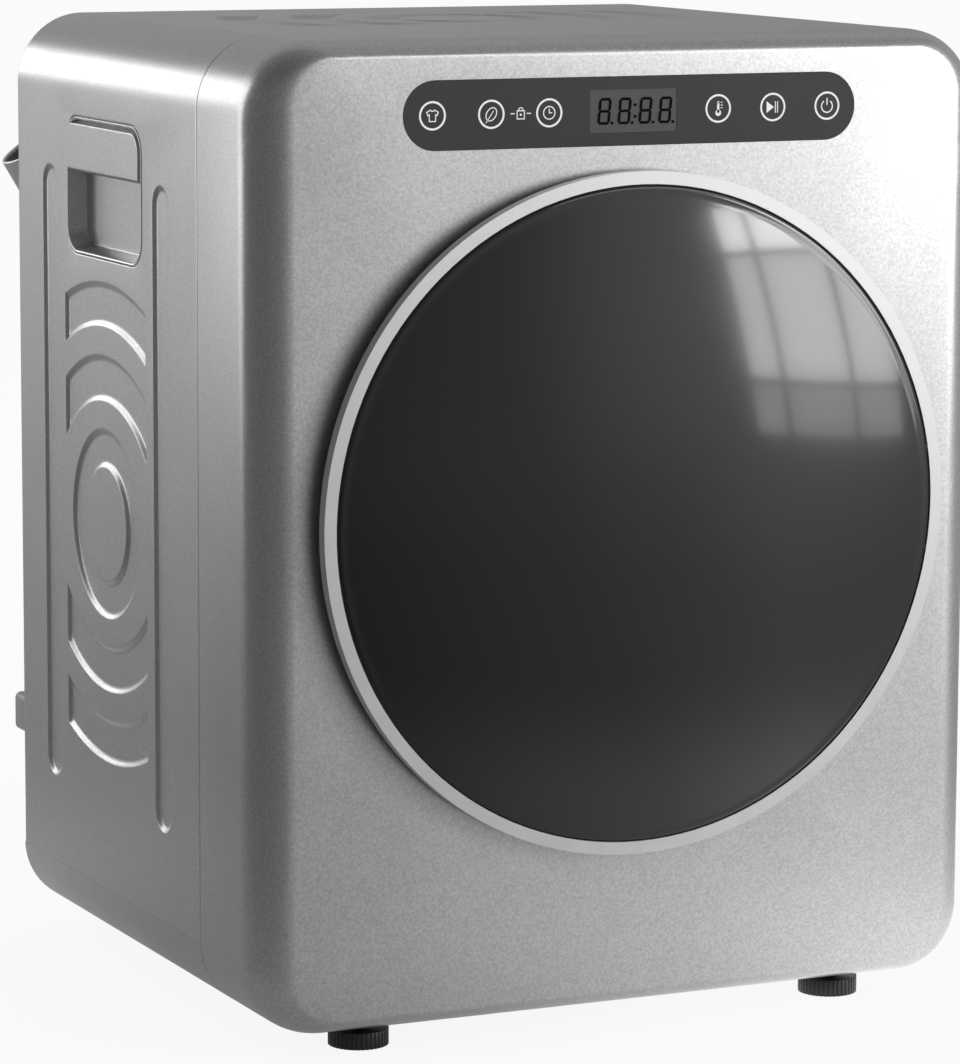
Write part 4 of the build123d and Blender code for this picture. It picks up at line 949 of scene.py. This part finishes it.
def lock(x):
    """A padlock between two dashes."""
    key_line(x, [(-2.3, 1.6), (2.3, 1.6), (2.3, -3.1), (-2.3, -3.1)], MEDIUM, True)
    symbols.arc(x, STRIP_Z + 1.9, 1.5, 0.55, 0, 180)
    symbols.disc(x, STRIP_Z - 0.7, 0.7, 12)
    key_line(x, [(-6.6, 0), (-3.8, 0)], MEDIUM)
    key_line(x, [(3.8, 0), (6.6, 0)], MEDIUM)


def clock(x):
    """A clock face with two hands."""
    symbols.arc(x, STRIP_Z, 3.7, 0.65)
    key_line(x, [(0, 2.5), (0, 0), (1.9, 0)], MEDIUM)


def thermometer(x):
    """A bulb, its stem and three ticks."""
    symbols.disc(x, STRIP_Z - 2.6, 1.9)
    key_line(x, [(0, -2.6), (0, 3.6)], 1.5)
    symbols.disc(x, STRIP_Z + 3.6, 0.75, 12)
    for tick in (0.4, 2.0, 3.6):
        key_line(x, [(1.6, tick), (3.0, tick)], 0.45)


def play(x):
    """A start triangle and two pause bars."""
    symbols.solid([(x - 4.2, STRIP_Z - 3.5), (x + 0.7, STRIP_Z), (x - 4.2, STRIP_Z + 3.5)])
    for bar in (1.7, 3.2):
        key_line(x, [(bar, -3.4), (bar, 3.4)], MEDIUM)


def power(x):
    """An open ring with an upright stroke."""
    symbols.arc(x, STRIP_Z - 0.3, 3.7, 0.75, 125, 415)
    key_line(x, [(0, 4.6), (0, 0.4)], 0.75)


for key_x in KEYS.values():
    symbols.arc(key_x, STRIP_Z, KEY_RADIUS, KEY_STROKE)
garment(KEYS["garment"])
leaf(KEYS["leaf"])
lock(LOCK_X)
clock(KEYS["clock"])
thermometer(KEYS["thermometer"])
play(KEYS["play"])
power(KEYS["power"])
settle(symbols.made("strip_symbols"), "cabinet", "white_plastic", material=white_print)

# Four seven-segment digits with their points and the colon
digits = Print(0.2, 0.05)
TALL, WIDE, STROKE, LEAN = 15.6, 8.0, 1.5, 0.09
SEGMENT_GAP = 0.4
DIGITS_X = (-19.0, -5.8, 7.9, 21.0)
POINT_ACROSS, POINT_UP, POINT_RADIUS = 5.0, 0.8, 0.85
COLON_X, COLON_UP, COLON_RADIUS = 1.1, 3.4, 0.9


def segment(x, z, upright, length):
    """One pointed segment of a digit."""
    half, end = STROKE / 2, length / 2
    corners = [
        (-end, 0), (half - end, half), (end - half, half), (end, 0), (end - half, -half),
        (half - end, -half),
    ]
    placed = [(v, u) if upright else (u, v) for u, v in corners]
    digits.solid([(x + u + LEAN * (z + v - STRIP_Z), z + v) for u, v in placed])


def digit(x):
    """All seven segments of one digit and its point."""
    for z in (STRIP_Z - TALL / 2 + STROKE / 2, STRIP_Z, STRIP_Z + TALL / 2 - STROKE / 2):
        segment(x, z, False, WIDE - STROKE)
    for offset in (-(WIDE - STROKE) / 2, (WIDE - STROKE) / 2):
        for z in (STRIP_Z - TALL / 4 + STROKE / 4, STRIP_Z + TALL / 4 - STROKE / 4):
            segment(x + offset, z, True, TALL / 2 - STROKE / 2 - SEGMENT_GAP)
    digits.disc(x + POINT_ACROSS, STRIP_Z - TALL / 2 + POINT_UP, POINT_RADIUS, 12)


for digit_x in DIGITS_X:
    digit(digit_x)
for colon_z in (STRIP_Z - COLON_UP, STRIP_Z + COLON_UP):
    digits.disc(COLON_X, colon_z, COLON_RADIUS, 12)
settle(digits.made("display_digits"), "cabinet", "display_lens", material=digit_print)


# Stage
def seen_plainly(tree):
    """1 for the rays that see the background: camera, gloss and glass."""
    path = tree.nodes.new("ShaderNodeLightPath")
    total = path.outputs["Is Camera Ray"]
    for name in ("Is Glossy Ray", "Is Transmission Ray"):
        added = tree.nodes.new("ShaderNodeMath")
        added.operation = "MAXIMUM"
        tree.links.new(total, added.inputs[0])
        tree.links.new(path.outputs[name], added.inputs[1])
        total = added.outputs[0]
    return total


def floor_material():
    """Pale floor that reads white to the camera and keeps a soft shadow."""
    made = bpy.data.materials.new("studio_floor")
    made.use_nodes = True
    tree = made.node_tree
    tree.nodes.clear()
    output = tree.nodes.new("ShaderNodeOutputMaterial")
    matt = tree.nodes.new("ShaderNodeBsdfDiffuse")
    matt.inputs["Color"].default_value = (0.9, 0.9, 0.9, 1)
    glow = tree.nodes.new("ShaderNodeEmission")
    glow.inputs["Color"].default_value = (1, 1, 1, 1)
    glow.inputs["Strength"].default_value = 1.0
    share = tree.nodes.new("ShaderNodeMath")
    share.operation = "MULTIPLY"
    share.inputs[1].default_value = 0.9
    mix = tree.nodes.new("ShaderNodeMixShader")
    tree.links.new(seen_plainly(tree), share.inputs[0])
    tree.links.new(share.outputs[0], mix.inputs["Fac"])
    tree.links.new(matt.outputs["BSDF"], mix.inputs[1])
    tree.links.new(glow.outputs["Emission"], mix.inputs[2])
    tree.links.new(mix.outputs["Shader"], output.inputs["Surface"])
    return made


FLOOR_HALF, FLOOR_DROP = 40, 0.0002
floor = plain_mesh(
    "floor",
    [(x * FLOOR_HALF, y * FLOOR_HALF, 0) for x, y in ((-1, -1), (1, -1), (1, 1), (-1, 1))],
    [(0, 1, 2, 3)],
    smooth=False,
)
floor.location.z = -FLOOR_DROP
coat_with(floor, floor_material())


def softbox(name, centre, target, width, height, radiance):
    """A rectangular lamp that faces its target; radiance is its plain brightness."""
    lamp = bpy.data.lights.new(name, "AREA")
    lamp.shape = "RECTANGLE"
    lamp.size, lamp.size_y = width, height
    lamp.energy = radiance * math.pi * width * height
    made = bpy.data.objects.new(name, lamp)
    bpy.context.scene.collection.objects.link(made)
    made.location = centre
    made.rotation_mode = "QUATERNION"
    made.rotation_quaternion = (Vector(target) - Vector(centre)).to_track_quat("-Z", "Y")
    made.visible_camera = False
    return made


# Window at the right front: edges of its panes across and up, and the glow of each row
WINDOW_TURN, WINDOW_AWAY, WINDOW_FROM = math.radians(43.5), 3.2, -0.255
PANE_COLUMNS = ((-0.47, -0.29), (-0.25, 0.2), (0.24, 0.6))
PANE_ROWS = ((1.11, 1.4, 13.5), (0.41, 1.07, 7.3), (0.16, 0.37, 3.0))


def light_window():
    """One lamp for each pane, all facing the machine."""
    sin, cos = math.sin(WINDOW_TURN), math.cos(WINDOW_TURN)
    foot = Vector((WINDOW_AWAY * sin, WINDOW_FROM - WINDOW_AWAY * cos, 0.0))
    facing_in, along = Vector((-sin, cos, 0.0)), Vector((cos, sin, 0.0))
    for left, right in PANE_COLUMNS:
        for low, high, glow in PANE_ROWS:
            middle = foot + along * (left + right) / 2 + Vector((0, 0, (low + high) / 2))
            softbox("window_pane", middle, middle + facing_in, right - left, high - low, glow)


light_window()
# The other lamps: place, what they face, width, height and brightness
softbox("front_ceiling", (1.5, -2.6, 1.9), (0.2, -0.2, 0.5), 1.6, 0.7, 1.6)
softbox("left_rear_lamp", (-2.2, 2.6, 1.05), (-0.24, 0, 0.5), 0.9, 2.0, 2.5)
softbox("rear_lamp", (-1.1, 3.2, 1.1), (-0.24, 0, 0.55), 0.75, 0.8, 4.0)

# Glow of the studio's cards from opposite the darkest side to that side, as (place, glow)
CARD_TONES = (
    (0.0, 0.42), (0.09, 0.5), (0.2, 0.75), (0.34, 0.85), (0.48, 0.5), (0.68, 0.27), (0.8, 0.17),
    (1.0, 0.13),
)
CARD_MIDDLE, CARD_RADIUS, CARD_TURNS = (0, 0, 0.3), 5.0, 48
DARK_SIDE, REAR_RIGHT, WINDOW_SIDE = (-0.966, -0.259, 0.0), (0.3, 0.92, 0.25), (0.6, -0.77, 0.21)


def card_material():
    """Studio cards: darkest at the left front, dim overhead and at the rear right, bright at the window."""
    made = bpy.data.materials.new("studio_card")
    made.use_nodes = True
    tree = made.node_tree
    tree.nodes.clear()
    place = tree.nodes.new("ShaderNodeTexCoord")

    def vector_math(operation, first, second=None):
        """A vector operation on one vector, or on it and a fixed one."""
        node = tree.nodes.new("ShaderNodeVectorMath")
        node.operation = operation
        tree.links.new(first, node.inputs[0])
        if second is not None:
            node.inputs[1].default_value = second
        return node.outputs["Value" if operation == "DOT_PRODUCT" else "Vector"]

    def mapped(value, start, end, low, high, smooth=True):
        """A value's range turned into another."""
        node = tree.nodes.new("ShaderNodeMapRange")
        node.interpolation_type = "SMOOTHSTEP" if smooth else "LINEAR"
        for name, number in (("From Min", start), ("From Max", end), ("To Min", low), ("To Max", high)):
            node.inputs[name].default_value = number
        tree.links.new(value, node.inputs["Value"])
        return node.outputs["Result"]

    def combined(operation, first, second):
        """Two numbers made one."""
        node = tree.nodes.new("ShaderNodeMath")
        node.operation = operation
        tree.links.new(first, node.inputs[0])
        tree.links.new(second, node.inputs[1])
        return node.outputs[0]

    toward = vector_math("NORMALIZE", vector_math("SUBTRACT", place.outputs["Object"], CARD_MIDDLE))
    side = mapped(vector_math("DOT_PRODUCT", toward, DARK_SIDE), -1, 1, 0, 1, smooth=False)
    tones = tree.nodes.new("ShaderNodeValToRGB")
    stops = tones.color_ramp.elements
    for position, tone in CARD_TONES[1:-1]:
        stops.new(position)
    for stop, (position, tone) in zip(stops, CARD_TONES):
        stop.position = position
        stop.color = (tone, tone, tone, 1)
    tree.links.new(side, tones.inputs["Fac"])
    split = tree.nodes.new("ShaderNodeSeparateXYZ")
    tree.links.new(toward, split.inputs["Vector"])
    overhead = mapped(split.outputs["Z"], 0.3, 0.9, 1.0, 0.45)
    near_floor = combined(
        "ADD",
        mapped(split.outputs["Z"], -0.55, -0.3, 1.6, 0.85),
        mapped(split.outputs["Z"], -0.2, 0.0, 0.0, 0.15),
    )
    rear_right = mapped(vector_math("DOT_PRODUCT", toward, REAR_RIGHT), 0.8, 0.985, 1.0, 0.5)
    window_wall = mapped(vector_math("DOT_PRODUCT", toward, WINDOW_SIDE), 0.89, 0.99, 0.0, 0.35)
    shade = combined("MULTIPLY", combined("MULTIPLY", overhead, near_floor), rear_right)
    glow = tree.nodes.new("ShaderNodeEmission")
    level = combined("MULTIPLY", tones.outputs["Color"], shade)
    tree.links.new(combined("ADD", level, window_wall), glow.inputs["Strength"])
    output = tree.nodes.new("ShaderNodeOutputMaterial")
    tree.links.new(glow.outputs["Emission"], output.inputs["Surface"])
    return made


def studio_cards():
    """Cards that only gloss sees: a round of upright ones, a ceiling and one on the floor."""
    points, faces, around = [], [], CARD_TURNS
    rows = [
        (CARD_RADIUS * math.cos(math.radians(v)), CARD_RADIUS * math.sin(math.radians(v)))
        for v in range(0, 90, 10)
    ]
    rows[0] = (CARD_RADIUS, -FLOOR_DROP / 2)
    for radius, height in rows:
        points += [
            (
                radius * math.cos(2 * math.pi * i / around),
                radius * math.sin(2 * math.pi * i / around),
                height,
            )
            for i in range(around)
        ]
    count = len(rows)
    for row in range(count - 1):
        here, above = row * around, (row + 1) * around
        for i in range(around):
            k = (i + 1) % around
            faces.append((here + i, here + k, above + k, above + i))
    faces.append(tuple(range(around)))
    faces.append(tuple(range((count - 1) * around, count * around)))
    cards = plain_mesh("studio_cards", points, faces, smooth=False)
    coat_with(cards, card_material())
    cards.visible_camera = cards.visible_diffuse = cards.visible_shadow = False
    cards.visible_transmission = False


studio_cards()


def studio_world():
    """White surroundings for what is seen, and a softer light on matt surfaces."""
    world = bpy.data.worlds.new("studio")
    bpy.context.scene.world = world
    world.use_nodes = True
    tree = world.node_tree
    tree.nodes.clear()
    output = tree.nodes.new("ShaderNodeOutputWorld")
    seen = tree.nodes.new("ShaderNodeBackground")
    seen.inputs["Color"].default_value = (1, 1, 1, 1)
    soft = tree.nodes.new("ShaderNodeBackground")
    soft.inputs["Strength"].default_value = 0.65
    soft.inputs["Color"].default_value = (1, 1, 1, 1)
    mix = tree.nodes.new("ShaderNodeMixShader")
    tree.links.new(seen_plainly(tree), mix.inputs["Fac"])
    tree.links.new(soft.outputs["Background"], mix.inputs[1])
    tree.links.new(seen.outputs["Background"], mix.inputs[2])
    tree.links.new(mix.outputs["Shader"], output.inputs["Surface"])


studio_world()
bpy.context.scene.view_settings.view_transform = "Standard"

# Camera
# The focal length in pixels of a frame 1064 pixels high; it, the place and the turns come from one fit
FOCAL_PIXELS, FRAME_PIXELS = 4797.9, 1064
CAMERA_PLACE = (-1.27033, -2.75926, 0.73466)
CAMERA_YAW, CAMERA_PITCH, CAMERA_ROLL = math.radians(24.86), math.radians(-8.64), math.radians(-0.22)


def set_camera():
    """The camera at the photograph's viewing angle, without a shift."""
    data = bpy.data.cameras.new("camera")
    data.sensor_width = 36.0
    data.lens = FOCAL_PIXELS / FRAME_PIXELS * data.sensor_width
    data.clip_end = 100.0
    made = bpy.data.objects.new("camera", data)
    bpy.context.scene.collection.objects.link(made)
    made.location = CAMERA_PLACE
    forward = Vector((
        math.sin(CAMERA_YAW) * math.cos(CAMERA_PITCH),
        math.cos(CAMERA_YAW) * math.cos(CAMERA_PITCH),
        math.sin(CAMERA_PITCH),
    ))
    made.rotation_mode = "QUATERNION"
    made.rotation_quaternion = (
        Matrix.Rotation(CAMERA_ROLL, 3, forward) @ forward.to_track_quat("-Z", "Y").to_matrix()
    ).to_quaternion()
    return made


bpy.context.scene.camera = set_camera()

bpy.context.view_layer.update()
